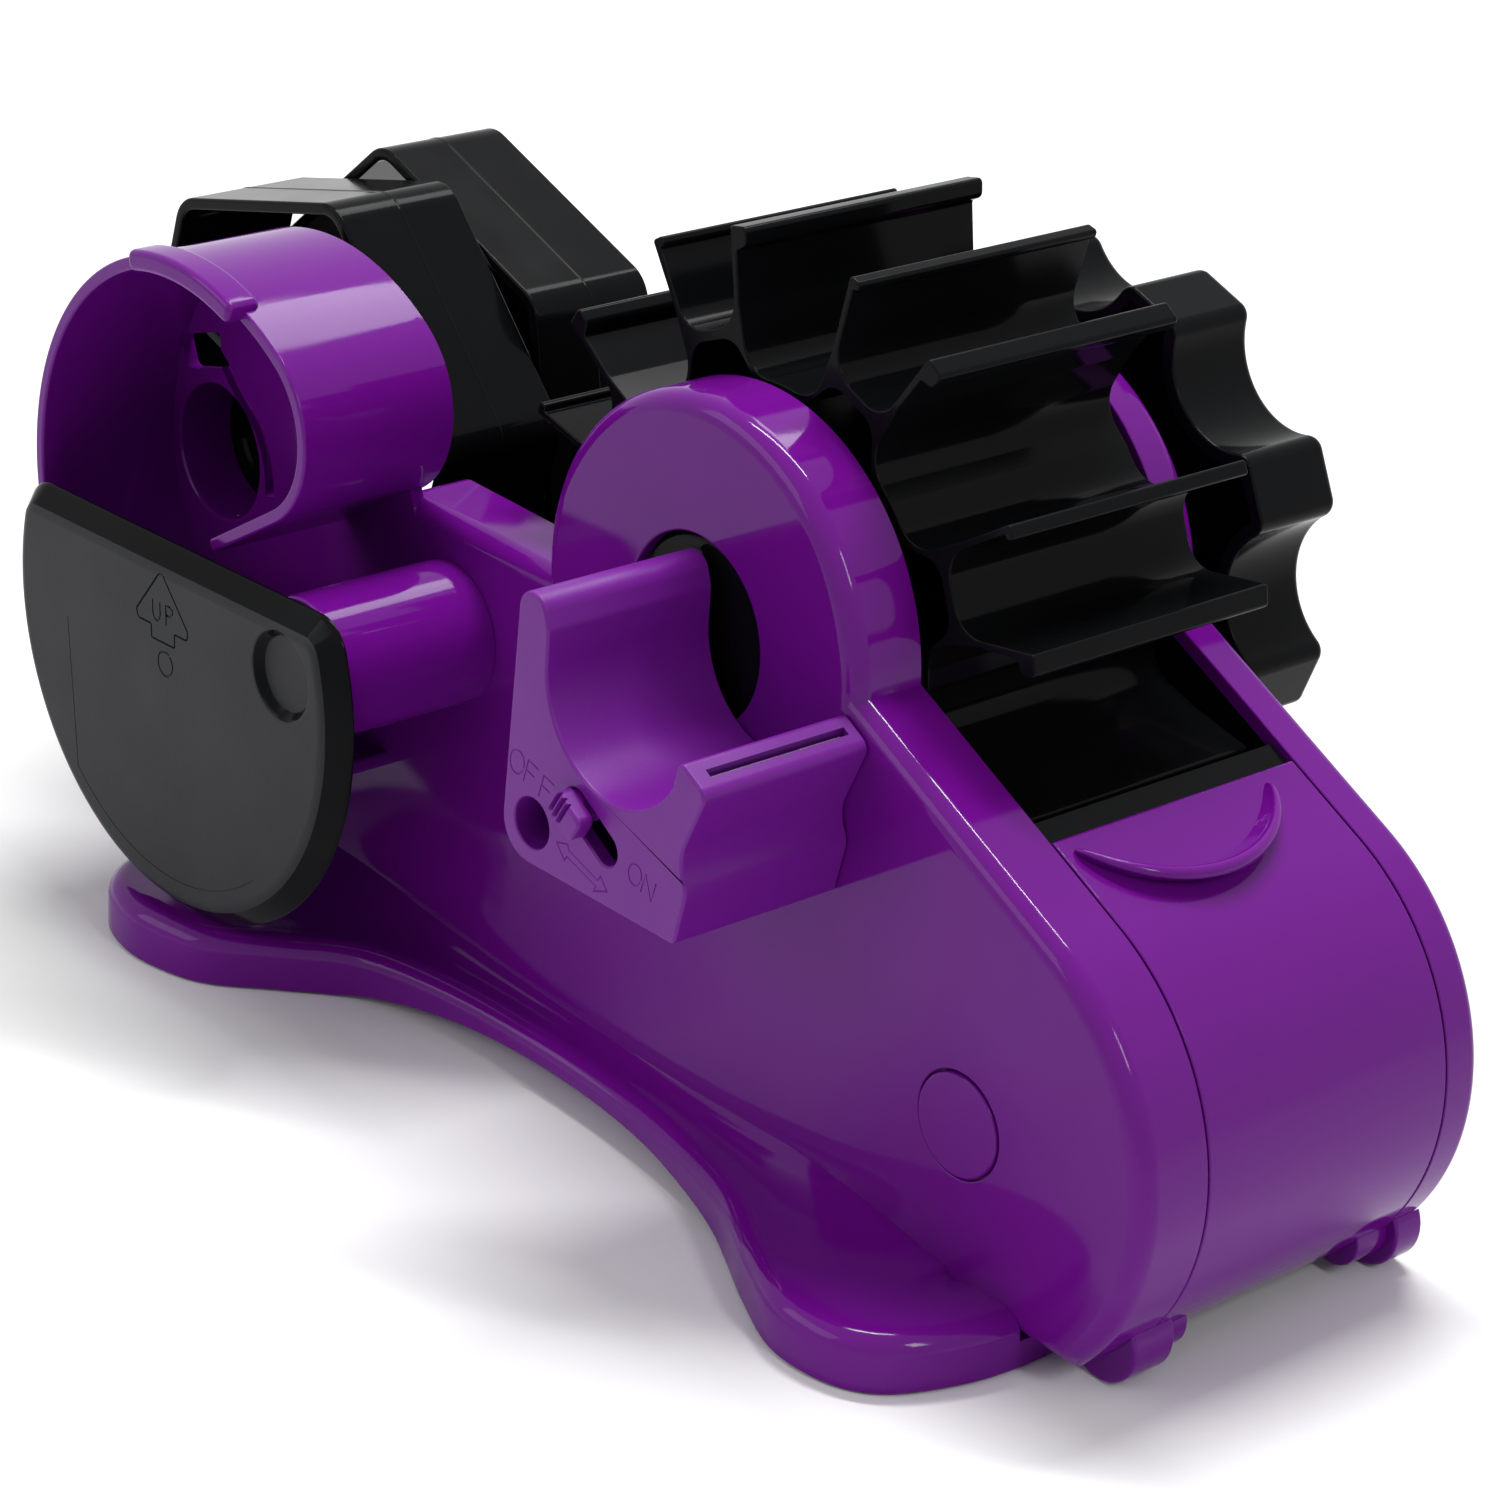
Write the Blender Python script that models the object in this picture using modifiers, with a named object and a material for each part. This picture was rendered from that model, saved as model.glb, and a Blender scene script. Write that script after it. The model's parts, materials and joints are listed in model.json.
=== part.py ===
"""Semi-automatic tape dispenser: a vaned tape wheel, two core reels and a side roll cup.

Lengths are in metres. X runs from the reels to the nose, Y from the roll cup's side to the
handwheel's side, and Z up. The origin is on the table, below the middle of the dispenser's box.
Until the last step everything is placed from the point straight below the middle of the axle.
"""
import math

import bmesh
import bpy
from mathutils import Matrix, Vector

# Driving dimensions
BAY_WIDTH = 0.0430
NEAR_DEPTH = 0.0110
FAR_DEPTH = 0.0061
WALL = 0.002
WHEEL_RADIUS = 0.0494
REEL_RADIUS = 0.0397
FLAP_RADIUS = 0.0394
BODY_FLOOR = 0.0044
SHOULDER_HEIGHT = 0.0080
FOOT_LIFT = 0.0003

# Clearances
SEAT_GAP = 0.0003
SIDE_GAP = 0.0006
RUN_GAP = 0.0004
WHEEL_END_GAP = 0.0011
REEL_CLEARANCE = 0.0161
FLAP_CLEARANCE = 0.0008
OVERRUN = 0.002
WELD = 0.000001
SCREW_WELD = 0.00001

# Housing side view
BOSS_RADIUS = 0.0306
NOSE_X = 0.0530
NOSE_HEIGHT = 0.0276
NOSE_RADIUS = 0.0335
SLOPE_ANGLE = 25.4
RIM_DROP = 0.0028
REEL_DROP = 0.0116
EAR_RADIUS = 0.0190
BODY_SHORT = 0.0212
TRAY_TOP_SHORT = 0.0427
NEAR_ROUNDING = 0.0028
FAR_ROUNDING = 0.0018
JOURNAL_RADIUS = 0.01235
AXLE_RADIUS = 0.0050
REEL_AXLE_RADIUS = 0.0040
COLLAR_RADIUS = 0.0099
LINER_THICKNESS = 0.0015

# Roll cup, its spindle and the keeper flap
CUP_RADIUS = 0.0381
CUP_RISE = 0.0011
CUP_MARGIN = 0.0034
CUP_CORNER_RADIUS = 0.0139
CUP_WALL = 0.0019
CUP_DEPTH = 0.0223
SPINDLE_FORWARD = 0.0309
SPINDLE_DROP = 0.0082
SPINDLE_RADIUS = 0.0100
FLAP_STANDOFF = 0.0025
FLAP_THICKNESS = 0.0034
FLAP_CENTRE_BACK = 0.0270
FLAP_CENTRE_DROP = 0.0069
FLAP_CHORD_RISE = 0.0148
FLAP_TILT = 3.7

# Across the dispenser
near_seam = -BAY_WIDTH / 2
far_seam = BAY_WIDTH / 2
near_wall = near_seam - NEAR_DEPTH
far_wall = far_seam + FAR_DEPTH
middle_y = (near_wall + far_wall) / 2
cup_front = near_wall - CUP_DEPTH
flap_back = cup_front - FLAP_STANDOFF
wheel_half = BAY_WIDTH / 2 - WHEEL_END_GAP
reel_width = far_seam - SIDE_GAP - SEAT_GAP

# Along the dispenser, back from the axle
reel_setback = WHEEL_RADIUS + REEL_CLEARANCE + REEL_RADIUS
body_back = reel_setback - BODY_SHORT
cup_x = CUP_RADIUS - CUP_MARGIN - COLLAR_RADIUS - reel_setback
spindle_x = cup_x + SPINDLE_FORWARD

# Up from the base: the flap clears the shoulder, and all the rest follows its pivot
spindle_height = SHOULDER_HEIGHT + FLAP_CLEARANCE + FLAP_RADIUS + FLAP_CENTRE_DROP
cup_height = spindle_height + SPINDLE_DROP
reel_height = cup_height - CUP_RISE
axle_height = reel_height + REEL_DROP
rim_height = axle_height - RIM_DROP

boss_centre = (0.0, axle_height)
nose_centre = (NOSE_X, NOSE_HEIGHT)
reel_centre = (-reel_setback, reel_height)
cup_centre = (cup_x, cup_height)
spindle_centre = (spindle_x, spindle_height)

COLOURS = {
    "purple": ((0.165, 0.018, 0.290), 0.22, 0.0),
    "purple_satin": ((0.190, 0.026, 0.320), 0.42, 0.0),
    "black_gloss": ((0.006, 0.007, 0.009), 0.20, 0.0),
    "black_matte": ((0.030, 0.031, 0.036), 0.50, 0.0),
    "rubber": ((0.020, 0.020, 0.020), 0.85, 0.0),
    "steel": ((0.560, 0.570, 0.580), 0.28, 1.0),
}


def clear_scene():
    for item in list(bpy.data.objects):
        bpy.data.objects.remove(item, do_unlink=True)


def make_collection(name):
    group = bpy.data.collections.new(name)
    bpy.context.scene.collection.children.link(group)
    return group


clear_scene()
parts = make_collection("tape_dispenser")
cutters = make_collection("cutters")


def finish_of(name, key):
    """A piece's own Principled material in one of the dispenser's colours."""
    colour, roughness, metallic = COLOURS[key]
    material = bpy.data.materials.new(name + "_material")
    material.use_nodes = True
    shader = material.node_tree.nodes["Principled BSDF"]
    shader.inputs["Base Color"].default_value = (*colour, 1.0)
    shader.inputs["Roughness"].default_value = roughness
    shader.inputs["Metallic"].default_value = metallic
    return material


def place(piece, key=None):
    """Put a piece with the parts, or, when it has no colour, with the cutters."""
    group = parts if key else cutters
    group.objects.link(piece)
    if key:
        piece.data.materials.clear()
        piece.data.materials.append(finish_of(piece.name, key))
        piece.data.shade_smooth()
        piece.data.set_sharp_from_angle(angle=math.radians(35))
    else:
        piece.hide_render = True
        piece.display_type = "WIRE"
    return piece


# Outlines in the XZ plane

def polar(centre, radius, degrees):
    angle = math.radians(degrees)
    return (centre[0] + radius * math.cos(angle), centre[1] + radius * math.sin(angle))


def arc(centre, radius, start, end, steps):
    return [polar(centre, radius, start + (end - start) * i / steps) for i in range(steps + 1)]


def circle(centre, radius, steps):
    return arc(centre, radius, 0, 360, steps)[:-1]


def line_to_circle(start, degrees, centre, radius):
    """The first point where a line that leaves start at an angle meets a circle."""
    dx, dz = math.cos(math.radians(degrees)), math.sin(math.radians(degrees))
    fx, fz = start[0] - centre[0], start[1] - centre[1]
    half = fx * dx + fz * dz
    reach = -half - math.sqrt(half * half - (fx * fx + fz * fz - radius * radius))
    return (start[0] + dx * reach, start[1] + dz * reach)


def angle_at(centre, point):
    return math.degrees(math.atan2(point[1] - centre[1], point[0] - centre[0]))


def tangent_angle(point, centre, radius):
    """Where on a circle, in degrees, the tangent from a point below it touches the left side."""
    away = math.dist(point, centre)
    return angle_at(centre, point) % 360 - math.degrees(math.acos(radius / away))


def offset(points, distance):
    """A closed outline moved outwards by a distance, its corners mitred."""
    area = sum(a[0] * b[1] - b[0] * a[1] for a, b in zip(points, points[1:] + points[:1]))
    turn = 1.0 if area > 0 else -1.0
    moved = []
    for before, here, after in zip(points[-1:] + points[:-1], points, points[1:] + points[:1]):
        first = Vector((here[0] - before[0], here[1] - before[1])).normalized()
        second = Vector((after[0] - here[0], after[1] - here[1])).normalized()
        normal = Vector((first.y + second.y, -first.x - second.x)).normalized() * turn
        stretch = max(normal.dot(Vector((first.y, -first.x)) * turn), 0.5)
        moved.append((here[0] + normal.x * distance / stretch,
                      here[1] + normal.y * distance / stretch))
    return moved


def ribbon(path, thickness):
    """A closed strip whose left edge, seen along the path, is the path itself."""
    inner = []
    for i, here in enumerate(path):
        before = path[max(i - 1, 0)]
        after = path[min(i + 1, len(path) - 1)]
        along = Vector((after[0] - before[0], after[1] - before[1])).normalized()
        inner.append((here[0] + along.y * thickness, here[1] - along.x * thickness))
    return path + inner[::-1]


def rounded(corners, radius, steps=4):
    """A closed polygon whose corners are rounded by arcs that touch both sides."""
    outline = []
    for before, here, after in zip(corners[-1:] + corners[:-1], corners, corners[1:] + corners[:1]):
        here, back, ahead = Vector(here), Vector(before), Vector(after)
        into, out = (back - here).normalized(), (ahead - here).normalized()
        half = into.angle(out) / 2
        centre = here + (into + out).normalized() * (radius / math.sin(half))
        first = here + into * (radius / math.tan(half)) - centre
        last = here + out * (radius / math.tan(half)) - centre
        for i in range(steps + 1):
            ray = first.slerp(last, i / steps) if first.angle(last) > 0.01 else first
            outline.append(tuple(centre + ray.normalized() * radius))
    return outline


# Solids

def new_mesh_object(name, mesh):
    piece = bpy.data.objects.new(name, mesh)
    return piece


def prism(name, loops, low, high, key=None):
    """A filled 2D curve in the XZ plane, with holes, extruded from Y low to Y high."""
    curve = bpy.data.curves.new(name + "_outline", "CURVE")
    curve.dimensions = "2D"
    curve.fill_mode = "BOTH"
    curve.extrude = (high - low) / 2
    for loop in loops:
        spline = curve.splines.new("POLY")
        spline.points.add(len(loop) - 1)
        for point, (x, z) in zip(spline.points, loop):
            point.co = (x, z, 0.0, 1.0)
        spline.use_cyclic_u = True
    drawn = bpy.data.objects.new(name + "_outline", curve)
    drawn.rotation_euler = (math.pi / 2, 0, 0)
    drawn.location = (0, (low + high) / 2, 0)
    bpy.context.scene.collection.objects.link(drawn)
    bpy.context.view_layer.update()
    graph = bpy.context.evaluated_depsgraph_get()
    mesh = bpy.data.meshes.new_from_object(drawn.evaluated_get(graph))
    mesh.transform(drawn.matrix_world)
    bpy.data.objects.remove(drawn, do_unlink=True)
    mesh.name = name
    form = bmesh.new()
    form.from_mesh(mesh)
    bmesh.ops.remove_doubles(form, verts=form.verts, dist=WELD)
    bmesh.ops.recalc_face_normals(form, faces=form.faces)
    if len(loops) == 1:
        bmesh.ops.dissolve_limit(form, angle_limit=math.radians(0.5), verts=form.verts,
                                 edges=form.edges)
    form.to_mesh(mesh)
    form.free()
    return place(new_mesh_object(name, mesh), key)


def turned(name, centre, profile, key=None, steps=32):
    """A profile of (radius, Y) points turned about an axis along Y through the centre."""
    mesh = bpy.data.meshes.new(name)
    form = bmesh.new()
    ordered = sorted_profile(profile)
    verts = [form.verts.new((radius, 0, height)) for radius, height in ordered]
    closed = ordered[0][0] > 0
    for a, b in zip(verts, verts[1:] + (verts[:1] if closed else [])):
        form.edges.new((a, b))
    form.to_mesh(mesh)
    form.free()
    piece = new_mesh_object(name, mesh)
    piece.rotation_euler = (-math.pi / 2, 0, 0)
    piece.location = (centre[0], 0, centre[1])
    screw = piece.modifiers.new("turn", "SCREW")
    screw.steps = steps
    screw.render_steps = steps
    screw.use_merge_vertices = True
    screw.merge_threshold = SCREW_WELD
    return place(piece, key)


def sorted_profile(profile):
    """The profile in the order that runs down the outer side, from high Y to low Y."""
    total = sum((b[0] - a[0]) * (b[1] + a[1]) for a, b in zip(profile, profile[1:] + profile[:1]))
    return profile if total > 0 else profile[::-1]


def disc(radius, low, high):
    return [(0.0, high), (radius, high), (radius, low), (0.0, low)]


def tube(outer, inner, low, high):
    return [(outer, high), (outer, low), (inner, low), (inner, high)]


def block(name, low, high, key=None):
    """A box between two corners."""
    mesh = bpy.data.meshes.new(name)
    form = bmesh.new()
    size = [b - a for a, b in zip(low, high)]
    middle = [(a + b) / 2 for a, b in zip(low, high)]
    bmesh.ops.create_cube(form, size=1.0)
    bmesh.ops.transform(form, matrix=Matrix.Translation(middle) @ Matrix.Diagonal((*size, 1.0)),
                        verts=form.verts)
    form.to_mesh(mesh)
    form.free()
    return place(new_mesh_object(name, mesh), key)


def combine(target, tool, operation):
    modifier = target.modifiers.new(operation.lower(), "BOOLEAN")
    modifier.operation = operation
    modifier.solver = "EXACT"
    modifier.object = tool
    return target


def cut(target, *tools):
    for tool in tools:
        combine(target, tool, "DIFFERENCE")
    return target


def join(target, *tools):
    for tool in tools:
        combine(target, tool, "UNION")
    return target


def round_face_edge(piece, level, radius, segments):
    """Round the edge all round the flat face of a prism at one Y level."""
    form = bmesh.new()
    form.from_mesh(piece.data)
    rim = [edge for edge in form.edges
           if all(abs(vert.co.y - level) < WELD for vert in edge.verts)
           and len(edge.link_faces) == 2
           and abs(edge.link_faces[0].normal.y - edge.link_faces[1].normal.y) > 0.5]
    bmesh.ops.bevel(form, geom=rim, offset=radius, segments=segments, profile=0.5,
                    affect="EDGES", clamp_overlap=False)
    form.to_mesh(piece.data)
    form.free()
    piece.data.shade_smooth()
    piece.data.set_sharp_from_angle(angle=math.radians(35))
    return piece


def turn_point(point, centre, degrees):
    """A point turned in the XZ plane, where positive raises what lies towards the reels."""
    angle = math.radians(-degrees)
    x, z = point[0] - centre[0], point[1] - centre[1]
    return (centre[0] + x * math.cos(angle) - z * math.sin(angle),
            centre[1] + x * math.sin(angle) + z * math.cos(angle))


def hang(name, location, *pieces):
    """Parent pieces to an empty on their joint's axis without moving them."""
    pivot = bpy.data.objects.new(name, None)
    parts.objects.link(pivot)
    pivot.location = location
    bpy.context.view_layer.update()
    for piece in pieces:
        piece.parent = pivot
        piece.matrix_parent_inverse = pivot.matrix_world.inverted()


# Housing outlines

slope_start = polar(nose_centre, NOSE_RADIUS, 90 - SLOPE_ANGLE)
slope_end = line_to_circle(slope_start, 180 - SLOPE_ANGLE, boss_centre, BOSS_RADIUS)
body_heel = (-body_back, BODY_FLOOR)
chin_angle = math.degrees(math.asin((BODY_FLOOR - NOSE_HEIGHT) / NOSE_RADIUS))
CUP_CORNER_ANGLE = 57
cup_corner_centre = polar(cup_centre, CUP_RADIUS - CUP_CORNER_RADIUS, CUP_CORNER_ANGLE)


def front_outline():
    """The nose, the slope and the boss, from the chin to where the boss meets the rim."""
    rim_angle = 180 - math.degrees(math.asin(-RIM_DROP / BOSS_RADIUS))
    nose = arc(nose_centre, NOSE_RADIUS, chin_angle, 90 - SLOPE_ANGLE, 16)
    boss = arc(boss_centre, BOSS_RADIUS, angle_at(boss_centre, slope_end), rim_angle, 20)
    return nose + boss


def near_outline():
    """The roll cup's side, whose tray ends in a slanted edge behind the tape bay."""
    return front_outline() + [(TRAY_TOP_SHORT - reel_setback, rim_height), body_heel]


def far_outline():
    """The handwheel's side, whose back end is an ear around the reel axle."""
    rise = math.asin((rim_height - reel_height) / EAR_RADIUS)
    heel_angle = tangent_angle(body_heel, reel_centre, EAR_RADIUS)
    ear = arc(reel_centre, EAR_RADIUS, math.degrees(rise), heel_angle, 14)
    return front_outline() + ear + [body_heel]


# Side shells

JOURNAL_HOLE_RADIUS = JOURNAL_RADIUS + RUN_GAP
COLLAR_WALL = 0.0013
PLUG_RADIUS = 0.0069
PLUG_DEPTH = 0.0012
REEL_BOSS_RADIUS = 0.0070
RELIEF_SLOT_RADIUS = 0.0130
RELIEF_SLOT_WIDTH = 0.0014
RELIEF_SLOT_START = -12
RELIEF_SLOT_END = 85
SCREW_SHANK_RADIUS = 0.0015
SCREW_HEAD_RADIUS = 0.0030
SCREW_HEAD_HEIGHT = 0.0020
PLUG_FORWARD = 0.0018
PLUG_RISE = 0.0005
plug_centre = (NOSE_X + PLUG_FORWARD, NOSE_HEIGHT + PLUG_RISE)
spindle_plug_radius = SPINDLE_RADIUS / 2


def side_shell(name, outline, seam, outer, rounding):
    """A tray that opens at the seam, with its outer edge rounded."""
    side = math.copysign(1, outer)
    shell = prism(name, [outline], min(outer, seam), max(outer, seam), "purple")
    round_face_edge(shell, outer, rounding, 3)
    floor, past = outer - side * WALL, seam - side * OVERRUN
    pocket = prism(name + "_pocket", [offset(outline, -WALL)], min(floor, past), max(floor, past))
    cut(shell, pocket)
    through = sorted((outer + side * OVERRUN, past))
    cut(shell, turned(name + "_journal_hole", boss_centre,
                      disc(JOURNAL_HOLE_RADIUS, *through), steps=36))
    recess = sorted((outer + side * OVERRUN, outer - side * PLUG_DEPTH))
    cut(shell, turned(name + "_plug_recess", plug_centre,
                      disc(PLUG_RADIUS + SEAT_GAP, *recess), steps=24))
    return shell


def near_shell():
    """The near tray in one moulding with the roll cup, its floor and the reels' near collar."""
    shell = side_shell("near_shell", near_outline(), near_seam, near_wall, NEAR_ROUNDING)
    step = SEAT_GAP / 2
    floor = prism("cup_floor", [cup_floor_outline()], near_wall + step, near_wall + WALL - step)
    collar = turned("reel_collar", reel_centre,
                    tube(COLLAR_RADIUS + COLLAR_WALL, COLLAR_RADIUS, near_wall + WALL / 2,
                         near_seam - SIDE_GAP), steps=32)
    join(shell, floor, cup_wall(), collar)
    inside = (near_wall - OVERRUN, near_wall + WALL + OVERRUN)
    cut(shell, turned("reel_opening", reel_centre, disc(COLLAR_RADIUS, *inside), steps=32))
    band = ribbon(arc(reel_centre, RELIEF_SLOT_RADIUS, RELIEF_SLOT_START, RELIEF_SLOT_END, 12)[::-1],
                  RELIEF_SLOT_WIDTH)
    cut(shell, prism("relief_slot", [band], *inside))
    cut(shell, turned("cradle_screw_hole", cradle_screw_centre,
                      disc(SCREW_SHANK_RADIUS + SEAT_GAP, *inside), steps=16))
    cut(shell, turned("spindle_hole", spindle_centre,
                      disc(spindle_plug_radius + SEAT_GAP, *inside), steps=20))
    return shell


def far_shell():
    shell = side_shell("far_shell", far_outline(), far_seam, far_wall, FAR_ROUNDING)
    boss = turned("reel_boss", reel_centre,
                  tube(REEL_BOSS_RADIUS, REEL_AXLE_RADIUS + SEAT_GAP,
                       far_seam + LINER_THICKNESS + SIDE_GAP, far_wall - WALL / 2), steps=24)
    return join(shell, boss)


def side_plug(name, outer):
    """A flat button that hides the housing screw at the nose."""
    side = math.copysign(1, outer)
    span = sorted((outer - side * (PLUG_DEPTH - SEAT_GAP), outer + side * SEAT_GAP))
    return turned(name, plug_centre, disc(PLUG_RADIUS, *span), "purple", steps=24)


def liner(name, outline, seam, holes):
    """The black plate that closes a side shell, set in just behind the seam."""
    side = math.copysign(1, seam)
    span = sorted((seam + side * SEAT_GAP, seam + side * (SEAT_GAP + LINER_THICKNESS)))
    return prism(name, [offset(outline, -WALL - SEAT_GAP)] + holes, *span, "black_gloss")


# Roll cup

CUP_LIP_REACH = 0.0172
CUP_LIP_ANGLE = -57
CUP_OPEN_ANGLE = 298
CATCH_START = 72
CATCH_END = 105
CATCH_RISE = 0.0012
CATCH_REACH = 0.0026


def cup_path():
    """The cup's outer edge: the corner from its lip's root, then the large sweep."""
    corner = arc(cup_corner_centre, CUP_CORNER_RADIUS, CUP_LIP_ANGLE, CUP_CORNER_ANGLE, 10)
    return corner + arc(cup_centre, CUP_RADIUS, CUP_CORNER_ANGLE, CUP_OPEN_ANGLE, 32)[1:]


def cup_floor_outline():
    """The floor of the cup, closed inside the tray."""
    return cup_path() + [(spindle_x, spindle_height - SPINDLE_RADIUS)]


def cup_wall():
    """A comma-shaped wall that stands out from its floor and holds a small roll."""
    root = cup_path()[0]
    lip_end = polar(root, CUP_LIP_REACH, CUP_LIP_ANGLE - 90)
    wall = ribbon(([lip_end] + cup_path())[::-1], CUP_WALL)
    cup = prism("cup_wall", [wall], cup_front, near_wall + WALL / 2)
    catch_path = arc(cup_centre, CUP_RADIUS + CATCH_RISE, CATCH_END, CATCH_START, 6)
    catch = prism("cup_catch", [ribbon(catch_path, CUP_WALL + CATCH_RISE - WELD)],
                  cup_front - CATCH_REACH, cup_front + CATCH_REACH)
    return join(cup, catch)


# Nose panel and bay floor

LEDGE_LENGTH = 0.0028
LIP_MARGIN = 0.00205
LIP_REACH = 0.0090
LIP_RISE = 0.0030
LIP_WALL = 0.0020
LIP_FLARE = 0.0018
LIP_END_SHARE = 0.15
LIP_STEPS = 20
BAY_CLEARANCE = 0.0026
BAY_WALL = 0.0016
BAY_END_ANGLE = -122
LEDGE_FALL = 2
bay_radius = WHEEL_RADIUS + BAY_CLEARANCE
panel_top_x = bay_radius + LEDGE_LENGTH
panel_half = far_seam - SEAT_GAP
lip_half = panel_half - abs(middle_y) - LIP_MARGIN
lip_radius = (lip_half * lip_half + LIP_REACH * LIP_REACH) / (2 * LIP_REACH)
slope_run = math.radians(180 - SLOPE_ANGLE)


def on_slope(x, height=0.0):
    """The point of the slope at X, raised square to it by a height."""
    along = (slope_start[0] - x) / math.cos(math.radians(SLOPE_ANGLE))
    lift = math.radians(90 - SLOPE_ANGLE)
    return (slope_start[0] + along * math.cos(slope_run) + height * math.cos(lift),
            slope_start[1] + along * math.sin(slope_run) + height * math.sin(lift))


def nose_panel():
    """The curved front cover between the shells, with a crescent lip to lift it by."""
    path = [on_slope(panel_top_x)] + arc(nose_centre, NOSE_RADIUS, 90 - SLOPE_ANGLE, chin_angle, 16)
    panel = prism("nose_panel", [ribbon(path, WALL)], -panel_half, panel_half, "purple")
    return join(panel, thumb_lip())


def thumb_lip():
    """A crescent wall that stands on the slope, low at both ends, with its crest flared forward."""
    crest = on_slope(panel_top_x + WALL)
    core = crest[0] - (lip_radius - LIP_REACH)
    half_angle = math.asin(lip_half / lip_radius)
    tilt = math.radians(SLOPE_ANGLE)
    mesh = bpy.data.meshes.new("thumb_lip")
    form = bmesh.new()
    rows = []
    for i in range(LIP_STEPS + 1):
        out = Vector((1, 0))
        out.rotate(Matrix.Rotation(half_angle * (2 * i / LIP_STEPS - 1), 2))
        fade = LIP_END_SHARE + (1 - LIP_END_SHARE) * math.sqrt(max(math.sin(math.pi * i / LIP_STEPS), 0))
        width, rise, flare = LIP_WALL * fade, LIP_RISE * fade, LIP_FLARE * fade
        corners = [(0.0, -WALL / 2), (flare, rise), (flare - width, rise), (-width, -WALL / 2)]
        row = []
        for reach, height in corners:
            px, py = core + out.x * (lip_radius + reach), middle_y + out.y * (lip_radius + reach)
            along = px - crest[0]
            row.append(form.verts.new((
                crest[0] + along * math.cos(tilt) + height * math.sin(tilt), py,
                crest[1] - along * math.sin(tilt) + height * math.cos(tilt))))
        rows.append(row)
    for first, second in zip(rows, rows[1:]):
        for j in range(4):
            form.faces.new((first[j], first[(j + 1) % 4], second[(j + 1) % 4], second[j]))
    form.faces.new(rows[0][::-1])
    form.faces.new(rows[-1])
    bmesh.ops.recalc_face_normals(form, faces=form.faces)
    form.to_mesh(mesh)
    form.free()
    return place(new_mesh_object("thumb_lip", mesh))


def bay_floor():
    """The black trough under the tape wheel, from the nose panel's edge down to the base."""
    ledge = on_slope(panel_top_x - SEAT_GAP, -WALL / 2)
    back = line_to_circle(ledge, 180 - SLOPE_ANGLE - LEDGE_FALL, boss_centre, bay_radius)
    sweep = arc(boss_centre, bay_radius, angle_at(boss_centre, back), BAY_END_ANGLE, 16)
    foot = (sweep[-1][0], BODY_FLOOR + SEAT_GAP)
    path = [foot] + sweep[::-1] + [ledge]
    return prism("bay_floor", [ribbon(path, BAY_WALL)], -panel_half, panel_half, "black_gloss")


# Base

BASE_HEIGHT = 0.0130
ARCH_HEIGHT = 0.0042
ARCH_START = -0.0560
ARCH_END = 0.0300
UNDERSIDE_RISE = 0.0022
UNDERSIDE_WALL = 0.0030
FOOT_RADIUS = 0.0070
FOOT_HEIGHT = 0.0019
BASE_FORWARD = 0.0160
BASE_BACK = 0.0965
BASE_HALF_WIDTH = 0.06065
FRONT_HALF_WIDTH = 0.0524
WAIST_INSET = 0.03165
WAIST_RUN = 0.0303
JUNCTION_X = 0.0242
base_front = NOSE_X + BASE_FORWARD
waist_half = BASE_HALF_WIDTH - WAIST_INSET

# Half of the base's outline, back to front: X as a share of the length behind or ahead of the
# axle, and Y from the body's middle as a share of the half width there
back_half_shares = [(-0.953, 0.00), (-0.972, 0.39), (-1.000, 0.70), (-0.992, 0.86),
                    (-0.938, 0.960), (-0.850, 1.000), (-0.767, 0.983), (-0.699, 0.933),
                    (-0.622, 0.808), (-0.539, 0.692), (-0.389, 0.630), (-0.192, 0.608)]
front_half_shares = [(0.000, 0.710), (0.180, 0.740), (0.370, 0.802), (0.540, 0.914),
                     (0.690, 0.996), (0.819, 0.992), (0.913, 0.922), (0.971, 0.773),
                     (1.000, 0.582), (0.996, 0.296), (0.985, 0.00)]
foot_places_shares = [(-0.78, 0.74), (0.68, 0.74)]
screw_places_shares = [(-0.53, 0.40), (0.35, 0.40)]

# How far the skirt's top has come in to the housing, and how far it has risen there
skirt_rise_shares = [(0.35, 0.06), (0.70, 0.36)]


def base_half():
    back = [(sx * BASE_BACK, sy * BASE_HALF_WIDTH) for sx, sy in back_half_shares]
    front = [(sx * base_front, sy * FRONT_HALF_WIDTH) for sx, sy in front_half_shares]
    return back + front


def smooth_loop(points, steps):
    """A closed curve through the points, made of cubic arcs with the neighbours' slopes."""
    loop = []
    count = len(points)
    for i in range(count):
        before, here, ahead, after = (Vector(points[(i + j - 1) % count]) for j in range(4))
        for k in range(steps):
            t = k / steps
            leave, arrive = (ahead - before) / 2, (after - here) / 2
            loop.append(tuple(here.lerp(ahead, t * t * (3 - 2 * t))
                              + t * (1 - t) * ((1 - t) * leave - t * arrive)))
    return loop


def base_outline(steps=2):
    half = base_half()
    far = [(x, middle_y + y) for x, y in half]
    near = [(x, middle_y - y) for x, y in half[1:-1]][::-1]
    return smooth_loop(far + near, steps)


def housing_cutters():
    """The housing's volume with a seating gap all round, in two halves."""
    return (prism("near_fit", [offset(near_outline(), SEAT_GAP)], near_wall - SEAT_GAP, OVERRUN),
            prism("far_fit", [offset(far_outline(), SEAT_GAP)], -OVERRUN, far_wall + SEAT_GAP))


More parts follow.
